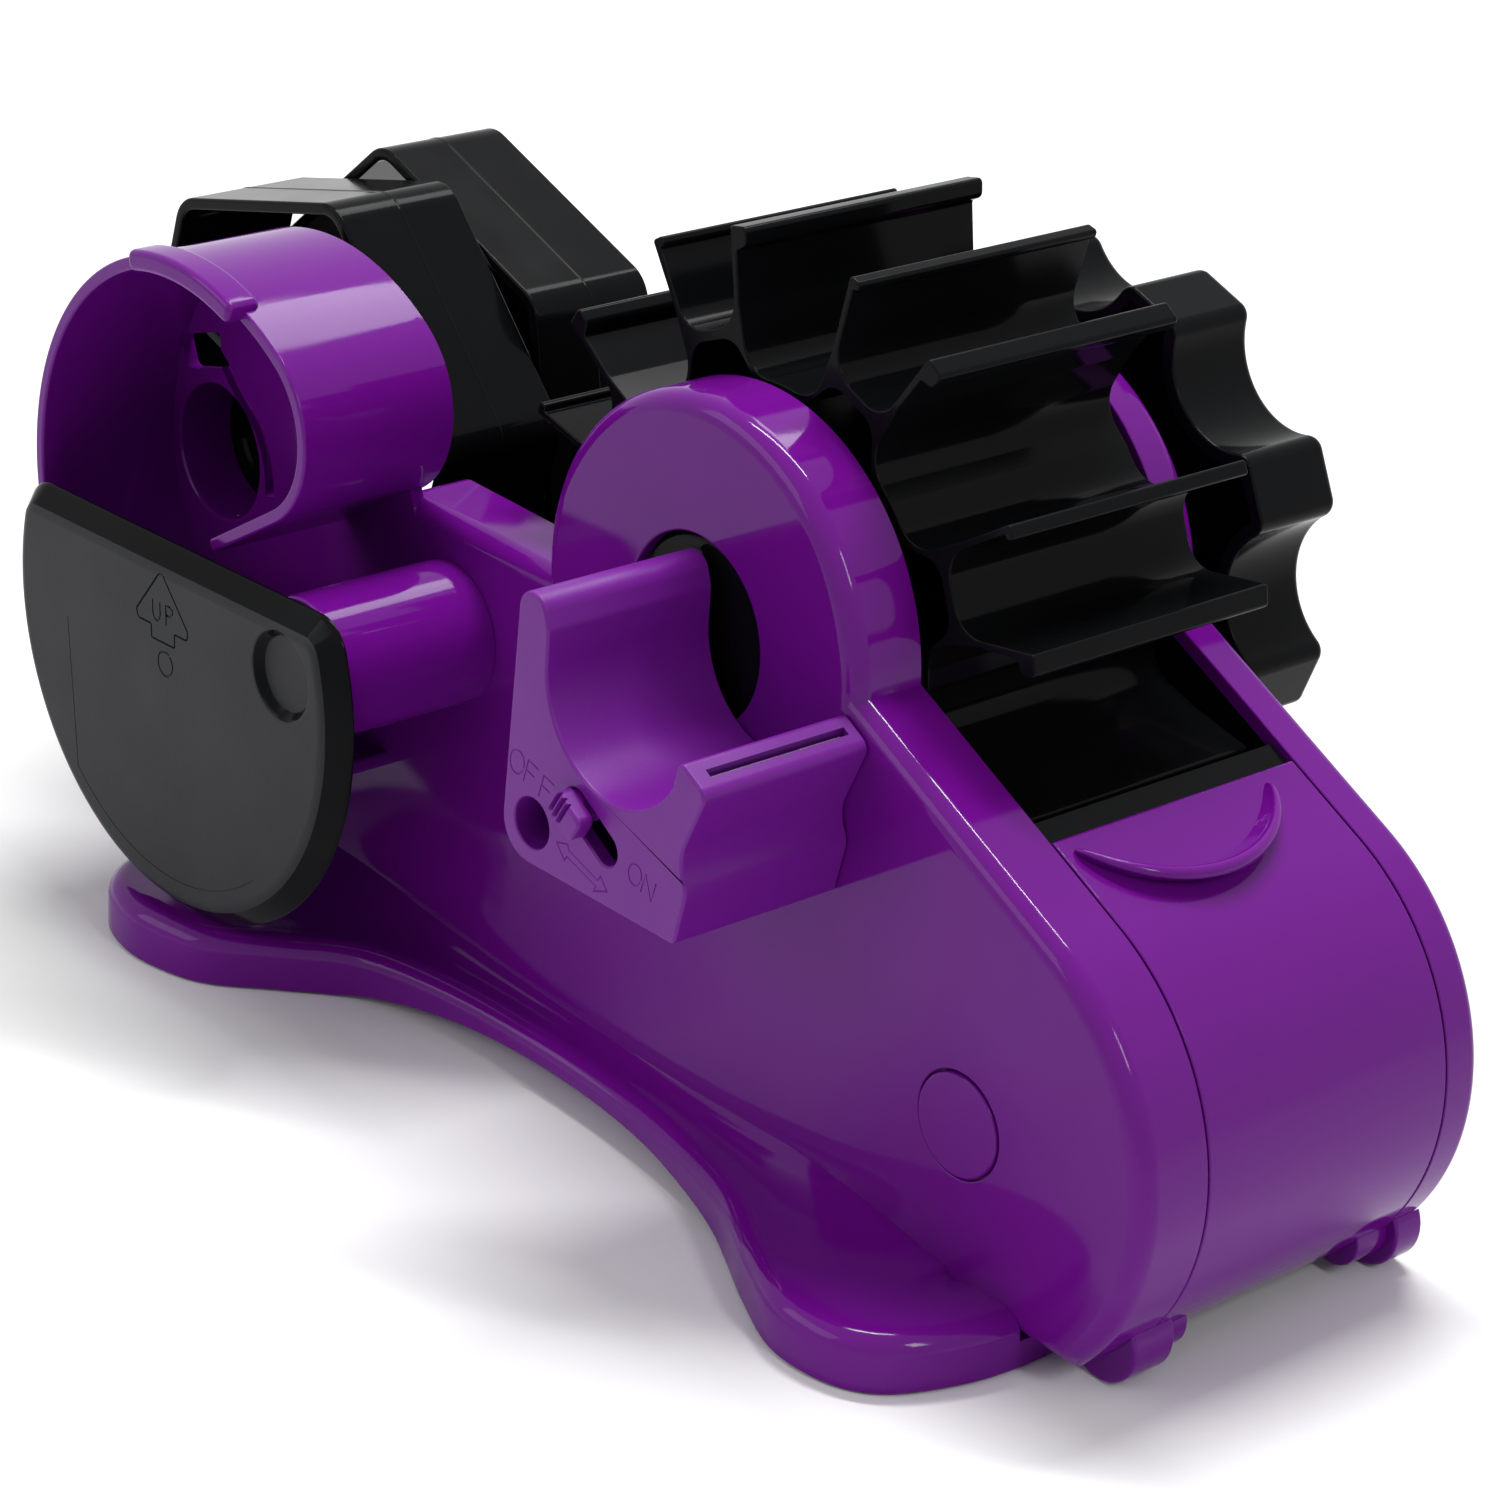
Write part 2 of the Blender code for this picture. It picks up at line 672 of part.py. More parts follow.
def base_skirt(housing):
    """The lobed base: rings lofted from the bottom edge over the shoulder to the housing."""
    outline = base_outline()
    levels = [(-SEAT_GAP, FOOT_LIFT), (0.0, FOOT_LIFT + SEAT_GAP), (-SEAT_GAP, SHOULDER_HEIGHT - WALL),
              (-WALL / 2, SHOULDER_HEIGHT - WALL / 3), (-WALL, SHOULDER_HEIGHT)]
    mesh = bpy.data.meshes.new("base_skirt")
    form = bmesh.new()
    rings = []
    for inset, height in levels:
        rings.append([form.verts.new((x, y, height)) for x, y in offset(outline, inset)])
    shoulder = offset(outline, -WALL)
    inner = []
    for x, y in shoulder:
        ix = min(max(x, WALL - body_back), NOSE_X + WALL)
        iy = min(max(y, near_wall + WALL), far_wall - WALL)
        dip = min(max((x - JUNCTION_X) / (base_front - JUNCTION_X), 0), 1)
        inner.append((ix, iy, BASE_HEIGHT + (BODY_FLOOR + WALL / 2 - BASE_HEIGHT) * dip))
    for share, lift in skirt_rise_shares:
        rings.append([form.verts.new((
            x + (ix - x) * share, y + (iy - y) * share,
            SHOULDER_HEIGHT + (iz - SHOULDER_HEIGHT) * lift))
            for (x, y), (ix, iy, iz) in zip(shoulder, inner)])
    rings.append([form.verts.new(point) for point in inner])
    for low, high in zip(rings, rings[1:]):
        for i in range(len(low)):
            j = (i + 1) % len(low)
            form.faces.new((low[i], low[j], high[j], high[i]))
    form.faces.new(rings[0][::-1])
    form.faces.new(rings[-1])
    bmesh.ops.remove_doubles(form, verts=form.verts, dist=WELD)
    bmesh.ops.recalc_face_normals(form, faces=form.faces)
    form.to_mesh(mesh)
    form.free()
    skirt = place(new_mesh_object("base_skirt", mesh), "purple")
    cut(skirt, *housing)
    cut(skirt, prism_flat("underside", underside_outline(0.0), -OVERRUN, UNDERSIDE_RISE))
    span = ARCH_END - ARCH_START
    bow = (span * span / 4 + ARCH_HEIGHT * ARCH_HEIGHT) / (2 * ARCH_HEIGHT)
    middle = ((ARCH_START + ARCH_END) / 2, FOOT_LIFT + ARCH_HEIGHT - bow)
    half = math.degrees(math.asin(span / 2 / bow))
    hump = arc(middle, bow, 90 - half, 90 + half, 10)
    hump = [(hump[0][0], -OVERRUN)] + hump + [(hump[-1][0], -OVERRUN)]
    inner_edge = waist_half + UNDERSIDE_WALL
    reach = BASE_HALF_WIDTH + OVERRUN
    cut(skirt, prism("near_arch", [hump], middle_y - reach, middle_y - inner_edge))
    cut(skirt, prism("far_arch", [hump], middle_y + inner_edge, middle_y + reach))
    return skirt


def prism_flat(name, loop, low, high, key=None):
    """A flat outline in the XY plane extruded upwards from Z low to Z high."""
    flat = prism(name, [loop], low, high, key)
    flat.data.transform(Matrix(((1, 0, 0, 0), (0, 0, 1, 0), (0, 1, 0, 0), (0, 0, 0, 1))))
    flat.data.flip_normals()
    return flat


def base_places(shares):
    places = []
    for sx, sy in shares:
        reach = BASE_BACK if sx < 0 else base_front
        width = BASE_HALF_WIDTH if sx < 0 else FRONT_HALF_WIDTH
        for side in (-1, 1):
            places.append((sx * reach, middle_y + side * sy * width))
    return places


def upright(name, place_xy, profile, key=None, steps=16):
    """A profile of (radius, Z) points turned about a vertical axis."""
    piece = turned(name, (place_xy[0], 0), profile, key, steps)
    piece.rotation_euler = (0, 0, 0)
    piece.location = (place_xy[0], place_xy[1], 0)
    return piece


def underside_outline(gap):
    """The hollow under the base, narrower at the waist, less a gap."""
    outline = []
    for x, y in offset(base_outline(), -UNDERSIDE_WALL - gap):
        past = max(ARCH_START - x, x - ARCH_END, 0.0)
        half = waist_half - gap + BASE_HALF_WIDTH * past / WAIST_RUN
        outline.append((x, middle_y + max(min(y - middle_y, half), -half)))
    return outline


def base_plate():
    low = FOOT_LIFT + SEAT_GAP
    high = UNDERSIDE_RISE - SEAT_GAP
    waist = underside_outline(SEAT_GAP)
    plate = prism_flat("base_plate", waist, low, high, "black_matte")
    for i, spot in enumerate(base_places(foot_places_shares)):
        cut(plate, upright(f"foot_hole_{i + 1}", spot, disc(FOOT_RADIUS + SEAT_GAP, -OVERRUN,
                                                            high + OVERRUN)))
    for i, spot in enumerate(base_places(screw_places_shares)):
        cut(plate, upright(f"screw_hole_{i + 1}", spot,
                           disc(SCREW_SHANK_RADIUS + SEAT_GAP, -OVERRUN, high + OVERRUN), steps=12))
    return plate


def feet_and_screws():
    for i, spot in enumerate(base_places(foot_places_shares)):
        edge = FOOT_HEIGHT / 4
        upright(f"rubber_foot_{i + 1}", spot,
                [(0.0, FOOT_HEIGHT), (FOOT_RADIUS, FOOT_HEIGHT), (FOOT_RADIUS, edge),
                 (FOOT_RADIUS - edge, 0.0), (0.0, 0.0)], "rubber")
    for i, spot in enumerate(base_places(screw_places_shares)):
        head_top = FOOT_LIFT
        upright(f"base_screw_{i + 1}", spot,
                [(0.0, UNDERSIDE_RISE - SEAT_GAP), (SCREW_SHANK_RADIUS, UNDERSIDE_RISE - SEAT_GAP),
                 (SCREW_SHANK_RADIUS, head_top), (SCREW_HEAD_RADIUS, head_top),
                 (SCREW_HEAD_RADIUS, head_top - SEAT_GAP), (0.0, head_top - SEAT_GAP)],
                "steel", steps=12)


# Front hooks

HOOK_FORWARD = 0.0226
HOOK_RADIUS = 0.0060
HOOK_CORE_RADIUS = 0.0043
NEAR_HOOK_INSET = 0.0070
NEAR_HOOK_WIDTH = 0.0070
NEAR_HOOK_CORE = 0.0040
FAR_HOOK_INSET = 0.0006
FAR_HOOK_WIDTH = 0.0050
FAR_HOOK_CORE = 0.0055


def front_hook(name, outer, width, core, housing):
    """A round heel under the nose that reaches the table, with a smaller core on its inner side."""
    side = math.copysign(1, outer)
    inner = outer - side * width
    span = sorted((outer, inner))
    core_span = sorted((inner + side * width / 2, inner - side * core))
    centre = (NOSE_X + HOOK_FORWARD, HOOK_RADIUS)
    hook = prism(name, [circle(centre, HOOK_RADIUS, 28)], *span, "purple")
    core_outline = circle(centre, HOOK_CORE_RADIUS, 24)
    round_core = prism(name + "_core", [core_outline], *core_span)
    return cut(join(hook, round_core), housing)


# Roll spindle

def roll_spindle():
    """The fixed roller that the small roll's tape runs over, and the flap's pivot."""
    face = flap_back + SEAT_GAP
    stub = flap_back + SEAT_GAP - FLAP_THICKNESS / 2
    inside = near_wall + WALL
    profile = [(0.0, inside), (spindle_plug_radius, inside),
               (spindle_plug_radius, near_wall - SEAT_GAP),
               (SPINDLE_RADIUS, near_wall - SEAT_GAP), (SPINDLE_RADIUS, face),
               (SPINDLE_RADIUS / 2, face), (SPINDLE_RADIUS / 2, stub), (0.0, stub)]
    return turned("roll_spindle", spindle_centre, profile, "purple", steps=32)


# Keeper flap

FLAP_CORNER_RADIUS = 0.0055
FLAP_CHAMFER = 0.0030
THUMB_RECESS_RADIUS = 0.0066
THUMB_RECESS_DEPTH = 0.0010


def flap_outline():
    """A disc cut by a chord, with both corners rounded, before the flap's tilt."""
    centre = (spindle_x - FLAP_CENTRE_BACK, spindle_height - FLAP_CENTRE_DROP)
    inner = FLAP_RADIUS - FLAP_CORNER_RADIUS
    rise = FLAP_CHORD_RISE - FLAP_CORNER_RADIUS
    reach = math.sqrt(inner * inner - rise * rise)
    right, left = (centre[0] + reach, centre[1] + rise), (centre[0] - reach, centre[1] + rise)
    turn = math.degrees(math.asin(rise / inner))
    outline = arc(left, FLAP_CORNER_RADIUS, 90, 180 - turn, 5)
    outline += arc(centre, FLAP_RADIUS, 180 - turn, 360 + turn, 32)[1:]
    outline += arc(right, FLAP_CORNER_RADIUS, turn, 90, 5)[1:]
    return [turn_point(point, centre, -FLAP_TILT) for point in outline]


def keeper_flap():
    front = flap_back - FLAP_THICKNESS
    flap = prism("keeper_flap", [flap_outline()], front, flap_back, "black_matte")
    round_face_edge(flap, front, FLAP_CHAMFER, 1)
    cut(flap, turned("pivot_bore", spindle_centre,
                     disc(SPINDLE_RADIUS / 2 + RUN_GAP, flap_back - FLAP_THICKNESS / 2,
                          flap_back + OVERRUN), steps=20))
    cut(flap, turned("thumb_recess", spindle_centre,
                     disc(THUMB_RECESS_RADIUS, front - OVERRUN, front + THUMB_RECESS_DEPTH),
                     steps=28))
    return flap


# Cutter cradle

CRADLE_BACKWARD = 0.0039
CRADLE_DROP = 0.0250
CRADLE_DEPTH = 0.02595
LEFT_ARM_WIDTH = 0.0072
RIGHT_ARM_WIDTH = 0.0043
ARM_RISE = 0.0084
FACE_HEIGHT = 0.0145
SWITCH_TRAVEL = 0.0070
U_RADIUS = 0.0131
U_END_ANGLE = 330
ROOF_START_ANGLE = 285
ROOF_END_ANGLE = 233
CRADLE_FRONT_WALL = 0.0020
CRADLE_BACK_WALL = 0.0015
BLADE_TILT = 20
BLADE_THICKNESS = 0.0006
BLADE_DEPTH_BELOW = 0.0010
SLIT_WIDTH = 0.0012
SLIT_MARGIN = 0.0025
SWITCH_STEM = 0.0019
SWITCH_PLATE = 0.0016
SWITCH_GRIP_RISE = 0.0024
SWITCH_GRIP_LENGTH = 0.0057
SWITCH_GRIP_WIDTH = 0.0046
SWITCH_GROOVES = 3
SLOT_BACK = 0.0062
SLOT_DROP = 0.0030
SLOT_ANGLE = -30
CARRIER_WIDTH = 0.0060
CARRIER_HEIGHT = 0.0035
CARRIER_CLEARANCE = 0.00055
CRADLE_SCREW_FORWARD = 0.0058
CRADLE_SCREW_RISE = 0.0056
cradle_bottom = axle_height - CRADLE_DROP
cradle_width = LEFT_ARM_WIDTH + 2 * U_RADIUS + RIGHT_ARM_WIDTH
cradle_height = FACE_HEIGHT + U_RADIUS + ARM_RISE
u_centre = (LEFT_ARM_WIDTH + U_RADIUS - CRADLE_BACKWARD, cradle_bottom + FACE_HEIGHT + U_RADIUS)
cradle_screw_centre = (CRADLE_SCREW_FORWARD - CRADLE_BACKWARD, cradle_bottom + CRADLE_SCREW_RISE)
cradle_back = near_wall - SEAT_GAP
cradle_front = cradle_back - CRADLE_DEPTH

# The cradle's outline beside the U, clockwise from the U's right end, and its cavity's floor,
# as shares of the cradle's width and height
arm_outline_shares = [(0.867, 0.686), (0.905, 0.683), (1.000, 0.630), (1.000, 0.595),
                      (0.955, 0.494), (0.910, 0.394), (0.896, 0.336), (0.902, 0.286),
                      (0.931, 0.256), (0.931, 0.203), (0.899, 0.038), (0.872, 0.020),
                      (0.480, 0.014), (0.162, 0.000), (0.082, 0.028), (0.029, 0.092),
                      (0.000, 0.175), (0.016, 0.506), (0.032, 0.828), (0.040, 0.925),
                      (0.064, 0.983), (0.093, 1.000), (0.143, 1.000), (0.180, 0.969),
                      (0.190, 0.900)]
cavity_floor_shares = [(0.305, 0.075), (0.850, 0.075), (0.850, 0.297)]


def on_cradle(shares):
    return [(sx * cradle_width - CRADLE_BACKWARD, cradle_bottom + sz * cradle_height)
            for sx, sz in shares]


slit_top = on_cradle([(0.934, 0.658)])[0]
blade_up = (math.sin(math.radians(BLADE_TILT)), math.cos(math.radians(BLADE_TILT)))
slot_run = (math.cos(math.radians(SLOT_ANGLE)), math.sin(math.radians(SLOT_ANGLE)))
slot_start = (u_centre[0] - SLOT_BACK, u_centre[1] - U_RADIUS - SLOT_DROP)
cavity_floor = on_cradle(cavity_floor_shares)[0][1]
carrier_top = cavity_floor + CARRIER_CLEARANCE + CARRIER_HEIGHT
blade_foot = carrier_top + SEAT_GAP + BLADE_THICKNESS / 2 * blade_up[0]
blade_height = (slit_top[1] - blade_foot) / blade_up[1] - BLADE_DEPTH_BELOW


def strip(start, direction, length, width):
    """A straight strip in the XZ plane, centred on a line that leaves start."""
    side = (direction[1] * width / 2, -direction[0] * width / 2)
    end = (start[0] + direction[0] * length, start[1] + direction[1] * length)
    return [(start[0] + side[0], start[1] + side[1]), (end[0] + side[0], end[1] + side[1]),
            (end[0] - side[0], end[1] - side[1]), (start[0] - side[0], start[1] - side[1])]


def capsule(start, direction, length, radius, steps=8):
    """A strip with round ends."""
    heading = math.degrees(math.atan2(direction[1], direction[0]))
    end = (start[0] + direction[0] * length, start[1] + direction[1] * length)
    return (arc(end, radius, heading - 90, heading + 90, steps)
            + arc(start, radius, heading + 90, heading + 270, steps))


def cutter_cradle():
    """The U-shaped block on the boss, with the blade's slit in its front arm."""
    sweep = arc(u_centre, U_RADIUS, 180, U_END_ANGLE, 16)
    outline = sweep + on_cradle(arm_outline_shares)
    cradle = prism("cutter_cradle", [outline], cradle_front, cradle_back, "purple_satin")
    cavity_front = cradle_front + CRADLE_FRONT_WALL
    roof = arc(u_centre, U_RADIUS + CRADLE_BACK_WALL, ROOF_START_ANGLE, ROOF_END_ANGLE, 5)
    cavity = prism("cradle_cavity", [on_cradle(cavity_floor_shares) + roof], cavity_front,
                   cradle_back + OVERRUN)
    start = (slit_top[0] + blade_up[0] * OVERRUN, slit_top[1] + blade_up[1] * OVERRUN)
    slit = prism("blade_slit", [strip(start, (-blade_up[0], -blade_up[1]),
                                      OVERRUN + BLADE_DEPTH_BELOW + blade_height, SLIT_WIDTH)],
                 cradle_front + SLIT_MARGIN, cradle_back - CRADLE_BACK_WALL)
    slot = prism("switch_slot", [capsule(slot_start, slot_run, SWITCH_TRAVEL,
                                         SWITCH_STEM + SEAT_GAP)],
                 cradle_front - OVERRUN, cavity_front + OVERRUN)
    seat = cradle_back - CRADLE_BACK_WALL
    shank = SCREW_SHANK_RADIUS + SEAT_GAP
    head = SCREW_HEAD_RADIUS + RUN_GAP
    well = turned("screw_well", cradle_screw_centre,
                  [(0.0, cradle_back + OVERRUN), (shank, cradle_back + OVERRUN), (shank, seat),
                   (head, seat), (head, cradle_front - OVERRUN), (0.0, cradle_front - OVERRUN)],
                  steps=24)
    return cut(cradle, cavity, slit, slot, well)


def cradle_screw():
    seat = cradle_back - CRADLE_BACK_WALL - SEAT_GAP
    profile = [(0.0, near_wall + WALL + OVERRUN), (SCREW_SHANK_RADIUS, near_wall + WALL + OVERRUN),
               (SCREW_SHANK_RADIUS, seat), (SCREW_HEAD_RADIUS, seat),
               (SCREW_HEAD_RADIUS, seat - SCREW_HEAD_HEIGHT), (0.0, seat - SCREW_HEAD_HEIGHT)]
    return turned("cradle_screw", cradle_screw_centre, profile, "steel", steps=20)


def blade_pieces():
    """The tape blade in its slit, and the carrier that lifts it from the cavity's floor."""
    top = (slit_top[0] - blade_up[0] * BLADE_DEPTH_BELOW,
           slit_top[1] - blade_up[1] * BLADE_DEPTH_BELOW)
    down = (-blade_up[0], -blade_up[1])
    low = cradle_front + SLIT_MARGIN + SEAT_GAP
    high = cradle_back - CRADLE_BACK_WALL - SEAT_GAP
    blade = prism("cradle_blade", [strip(top, down, blade_height, BLADE_THICKNESS)], low, high,
                  "steel")
    carrier_left = top[0] + down[0] * blade_height - CARRIER_WIDTH * 3 / 4
    carrier = block("blade_carrier", (carrier_left, low, carrier_top - CARRIER_HEIGHT),
                    (carrier_left + CARRIER_WIDTH, high, carrier_top), "black_matte")
    return blade, carrier


def blade_switch():
    """The ridged slider on the cradle's face, with its stem and keeper plate behind the wall."""
    inner = cradle_front + CRADLE_FRONT_WALL
    front = cradle_front - SEAT_GAP
    stem = prism("blade_switch", [circle(slot_start, SWITCH_STEM, 20)],
                 front - SWITCH_GRIP_RISE / 2, inner + SEAT_GAP + SWITCH_PLATE / 2, "purple_satin")
    plate = prism("switch_plate", [capsule(slot_start, slot_run, SEAT_GAP, SWITCH_STEM
                                           + SEAT_GAP + SEAT_GAP)],
                  inner + SEAT_GAP, inner + SEAT_GAP + SWITCH_PLATE)
    grip_start = (slot_start[0] - slot_run[0] * SWITCH_STEM,
                  slot_start[1] - slot_run[1] * SWITCH_STEM)
    grip = prism("switch_grip", [strip(grip_start, slot_run, SWITCH_GRIP_LENGTH, SWITCH_GRIP_WIDTH)],
                 front - SWITCH_GRIP_RISE, front)
    join(stem, plate, grip)
    side = (-slot_run[1], slot_run[0])
    for i in range(SWITCH_GROOVES):
        along = SWITCH_GRIP_LENGTH * (i + 1 / 2) / SWITCH_GROOVES
        begin = (grip_start[0] + slot_run[0] * along - side[0] * SWITCH_GRIP_WIDTH,
                 grip_start[1] + slot_run[1] * along - side[1] * SWITCH_GRIP_WIDTH)
        cut(stem, prism(f"grip_groove_{i + 1}", [strip(begin, side, 2 * SWITCH_GRIP_WIDTH,
                                                       SWITCH_STEM / 3)],
                        front - SWITCH_GRIP_RISE - OVERRUN, front - SWITCH_GRIP_RISE / 2))
    return stem


# Tape wheel

VANE_PERIODS = 8
WHEEL_PHASE = 22.8
HUB_RADIUS = 0.0120
WEB_THICKNESS = 0.0020
RIB_WALL = 0.0008

# One period of the wheel, from one wide channel's middle over a vane, the narrow channel and
# the next vane: radius as a share of the wheel's, angle from the narrow channel's middle as a
# share of the half period. Both vanes' lips point to the lower angle.
vane_outline_shares = [(0.620, -0.900), (0.630, -0.730), (0.657, -0.590), (0.702, -0.470),
                       (0.775, -0.425), (0.860, -0.430), (0.935, -0.440), (0.948, -0.475),
                       (0.957, -0.530), (0.977, -0.553), (1.000, -0.545), (1.000, -0.400),
                       (0.945, -0.390), (0.866, -0.380), (0.792, -0.325), (0.752, -0.220),
                       (0.742, -0.080), (0.742, 0.080), (0.752, 0.200), (0.778, 0.300),
                       (0.825, 0.362), (0.890, 0.372), (0.965, 0.378), (0.980, 0.335),
                       (1.000, 0.333), (1.000, 0.430), (0.860, 0.425), (0.775, 0.425),
                       (0.702, 0.470), (0.657, 0.590), (0.630, 0.730), (0.620, 0.900)]
inner_outline_shares = [(0.590, -0.750), (0.610, -0.560), (0.655, -0.400), (0.692, -0.270),
                        (0.709, -0.080), (0.709, 0.080), (0.692, 0.270), (0.655, 0.400),
                        (0.610, 0.560), (0.590, 0.750)]


def repeated(shares, periods, radius, phase):
    """A closed outline from one period repeated round the axle."""
    half = 180 / periods
    outline = []
    for k in range(periods):
        middle = phase + k * 2 * half
        outline += [polar(boss_centre, radius * r, middle + half * a) for r, a in shares]
    return outline


def tape_wheel():
    """Sixteen vanes in eight pairs on a corrugated ring, carried by a web and a hub tube."""
    half = wheel_half
    outer = repeated(vane_outline_shares, VANE_PERIODS, WHEEL_RADIUS, WHEEL_PHASE)
    inner = repeated(inner_outline_shares, VANE_PERIODS, WHEEL_RADIUS, WHEEL_PHASE)
    wheel = prism("tape_wheel", [outer, inner], -half, half, "black_gloss")
    web = prism("wheel_web", [offset(inner, RIB_WALL)], -WEB_THICKNESS / 2, WEB_THICKNESS / 2)
    hub = turned("wheel_hub", boss_centre, disc(HUB_RADIUS, -half, half), steps=24)
    bore = turned("wheel_bore", boss_centre, disc(AXLE_RADIUS + SEAT_GAP, -half - OVERRUN,
                                                  half + OVERRUN), steps=20)
    return cut(join(wheel, web, hub), bore)


HANDWHEEL_STANDOFF = 0.0048
HANDWHEEL_DEPTH = 0.0146
HANDWHEEL_RADIUS = 0.0377
HANDWHEEL_WALL = 0.0018
HANDWHEEL_LOBES = 8
HANDWHEEL_PHASE = 26
HANDWHEEL_HUB = 0.0090
HANDWHEEL_ROUNDING = 0.0015
SCALLOP_RADIUS = 0.0107
SCALLOP_OUT = 0.0037
LOBE_CORNER_RADIUS = 0.0022
handwheel_near = far_wall + HANDWHEEL_STANDOFF
handwheel_far = handwheel_near + HANDWHEEL_DEPTH


def handwheel_outline():
    """A disc with eight round scallops in its rim, each met by a small rounded corner."""
    corner_ring = HANDWHEEL_RADIUS - LOBE_CORNER_RADIUS
    setting = HANDWHEEL_RADIUS + SCALLOP_OUT
    apart = SCALLOP_RADIUS + LOBE_CORNER_RADIUS
    spread = (setting ** 2 + corner_ring ** 2 - apart ** 2) / (2 * setting * corner_ring)
    beta = math.degrees(math.acos(spread))
    gamma = math.degrees(math.asin(corner_ring * math.sin(math.radians(beta)) / apart))
    half = 180 / HANDWHEEL_LOBES
    outline = []
    for i in range(HANDWHEEL_LOBES):
        top = HANDWHEEL_PHASE + 2 * half * i
        valley = top + half
        scallop = polar(boss_centre, setting, valley)
        first = polar(boss_centre, corner_ring, valley - beta)
        last = polar(boss_centre, corner_ring, valley + beta)
        outline += arc(first, LOBE_CORNER_RADIUS, valley - beta, valley + gamma, 2)
        outline += arc(scallop, SCALLOP_RADIUS, valley + 180 + gamma, valley + 180 - gamma, 5)[1:]
        outline += arc(last, LOBE_CORNER_RADIUS, valley - gamma, valley + beta, 2)[1:]
    return outline


def handwheel():
    wheel = prism("handwheel", [handwheel_outline()], handwheel_near, handwheel_far,
                  "black_gloss")
    round_face_edge(wheel, handwheel_far, HANDWHEEL_ROUNDING, 2)
    hollow = prism("handwheel_hollow", [offset(handwheel_outline(), -HANDWHEEL_WALL)],
                   handwheel_near - OVERRUN, handwheel_far - HANDWHEEL_WALL)
    hub = turned("handwheel_hub", boss_centre,
                 disc(HANDWHEEL_HUB, handwheel_near - SEAT_GAP,
                      handwheel_far - HANDWHEEL_WALL / 2), steps=24)
    seat = handwheel_far - SCREW_HEAD_HEIGHT
    stop = handwheel_far - 2 * HANDWHEEL_WALL
    shank = SCREW_SHANK_RADIUS + SEAT_GAP
    head = SCREW_HEAD_RADIUS + RUN_GAP
    bore = turned("handwheel_bore", boss_centre,
                  [(0.0, handwheel_far + OVERRUN), (head, handwheel_far + OVERRUN), (head, seat),
                   (shank, seat), (shank, stop), (AXLE_RADIUS + SEAT_GAP, stop),
                   (AXLE_RADIUS + SEAT_GAP, handwheel_near - OVERRUN),
                   (0.0, handwheel_near - OVERRUN)], steps=24)
    return cut(join(cut(wheel, hollow), hub), bore)


def wheel_fittings():
    """The shaft through the wheel, the journal at each end of it and the handwheel's screw."""
    half = wheel_half
    near_end = near_wall + WALL / 2
    blind = near_end + WALL
    shaft_far = handwheel_far - 2 * HANDWHEEL_WALL - SEAT_GAP
    axle = turned("wheel_axle", boss_centre, disc(AXLE_RADIUS, blind + SEAT_GAP, shaft_far),
                  "steel", steps=32)
    near = turned("near_journal", boss_centre,
                  [(0.0, near_end), (JOURNAL_RADIUS, near_end), (JOURNAL_RADIUS, -half - SEAT_GAP),
                   (AXLE_RADIUS + SEAT_GAP, -half - SEAT_GAP), (AXLE_RADIUS + SEAT_GAP, blind),
                   (0.0, blind)], "black_gloss", steps=40)
    far = turned("far_journal", boss_centre,
                 tube(JOURNAL_RADIUS, AXLE_RADIUS + SEAT_GAP, half + SEAT_GAP,
                      handwheel_near - 2 * SEAT_GAP), "black_gloss", steps=40)
    seat = handwheel_far - SCREW_HEAD_HEIGHT + SEAT_GAP
    screw = turned("handwheel_screw", boss_centre,
                   [(0.0, handwheel_far), (SCREW_HEAD_RADIUS, handwheel_far),
                    (SCREW_HEAD_RADIUS, seat), (SCREW_SHANK_RADIUS, seat),
                    (SCREW_SHANK_RADIUS, shaft_far + SEAT_GAP), (0.0, shaft_far + SEAT_GAP)],
                   "steel", steps=20)
    return axle, near, far, screw


# Core reels

REEL_WALL = 0.0018
REEL_HUB_RADIUS = 0.0085
REEL_CORNER_ROUNDING = 0.0055
REEL_SPOKE_WIDTH = 0.0120
REEL_SPOKES = 3
REEL_SIDES = 6
REEL_PHASES = {"near_reel": 15, "far_reel": 41}


def reel_outline(name):
    step = 360 / REEL_SIDES
    corners = [polar(reel_centre, REEL_RADIUS, REEL_PHASES[name] + step * i) for i in range(REEL_SIDES)]
    return rounded(corners, REEL_CORNER_ROUNDING)


def core_reel(name, side):
    """A hexagonal strap that fits a tape core, on three spokes and a hub."""
    phase = REEL_PHASES[name]
    outline = reel_outline(name)
    start = side * SEAT_GAP
    end = side * (SEAT_GAP + reel_width)
    low, high = min(start, end), max(start, end)
    reel = prism(name, [outline, offset(outline, -REEL_WALL)], low, high, "black_gloss")
    middle = (low + high) / 2
    side_middle = 180 / REEL_SIDES
    for i in range(REEL_SPOKES):
        heading = phase + side_middle + 360 * i / REEL_SPOKES
        root = polar(reel_centre, REEL_HUB_RADIUS / 2, heading)
        reach = REEL_RADIUS * math.cos(math.radians(side_middle)) - (REEL_WALL + REEL_HUB_RADIUS) / 2
        spoke = strip(root, polar((0, 0), 1, heading), reach, REEL_WALL)
        join(reel, prism(f"{name}_spoke_{i + 1}", [spoke], middle - REEL_SPOKE_WIDTH / 2,
                         middle + REEL_SPOKE_WIDTH / 2))
    join(reel, turned(name + "_hub", reel_centre, disc(REEL_HUB_RADIUS, low, high), steps=32))
    cut(reel, turned(name + "_bore", reel_centre,
                     disc(REEL_AXLE_RADIUS + RUN_GAP, low - OVERRUN, high + OVERRUN), steps=24))
    return reel


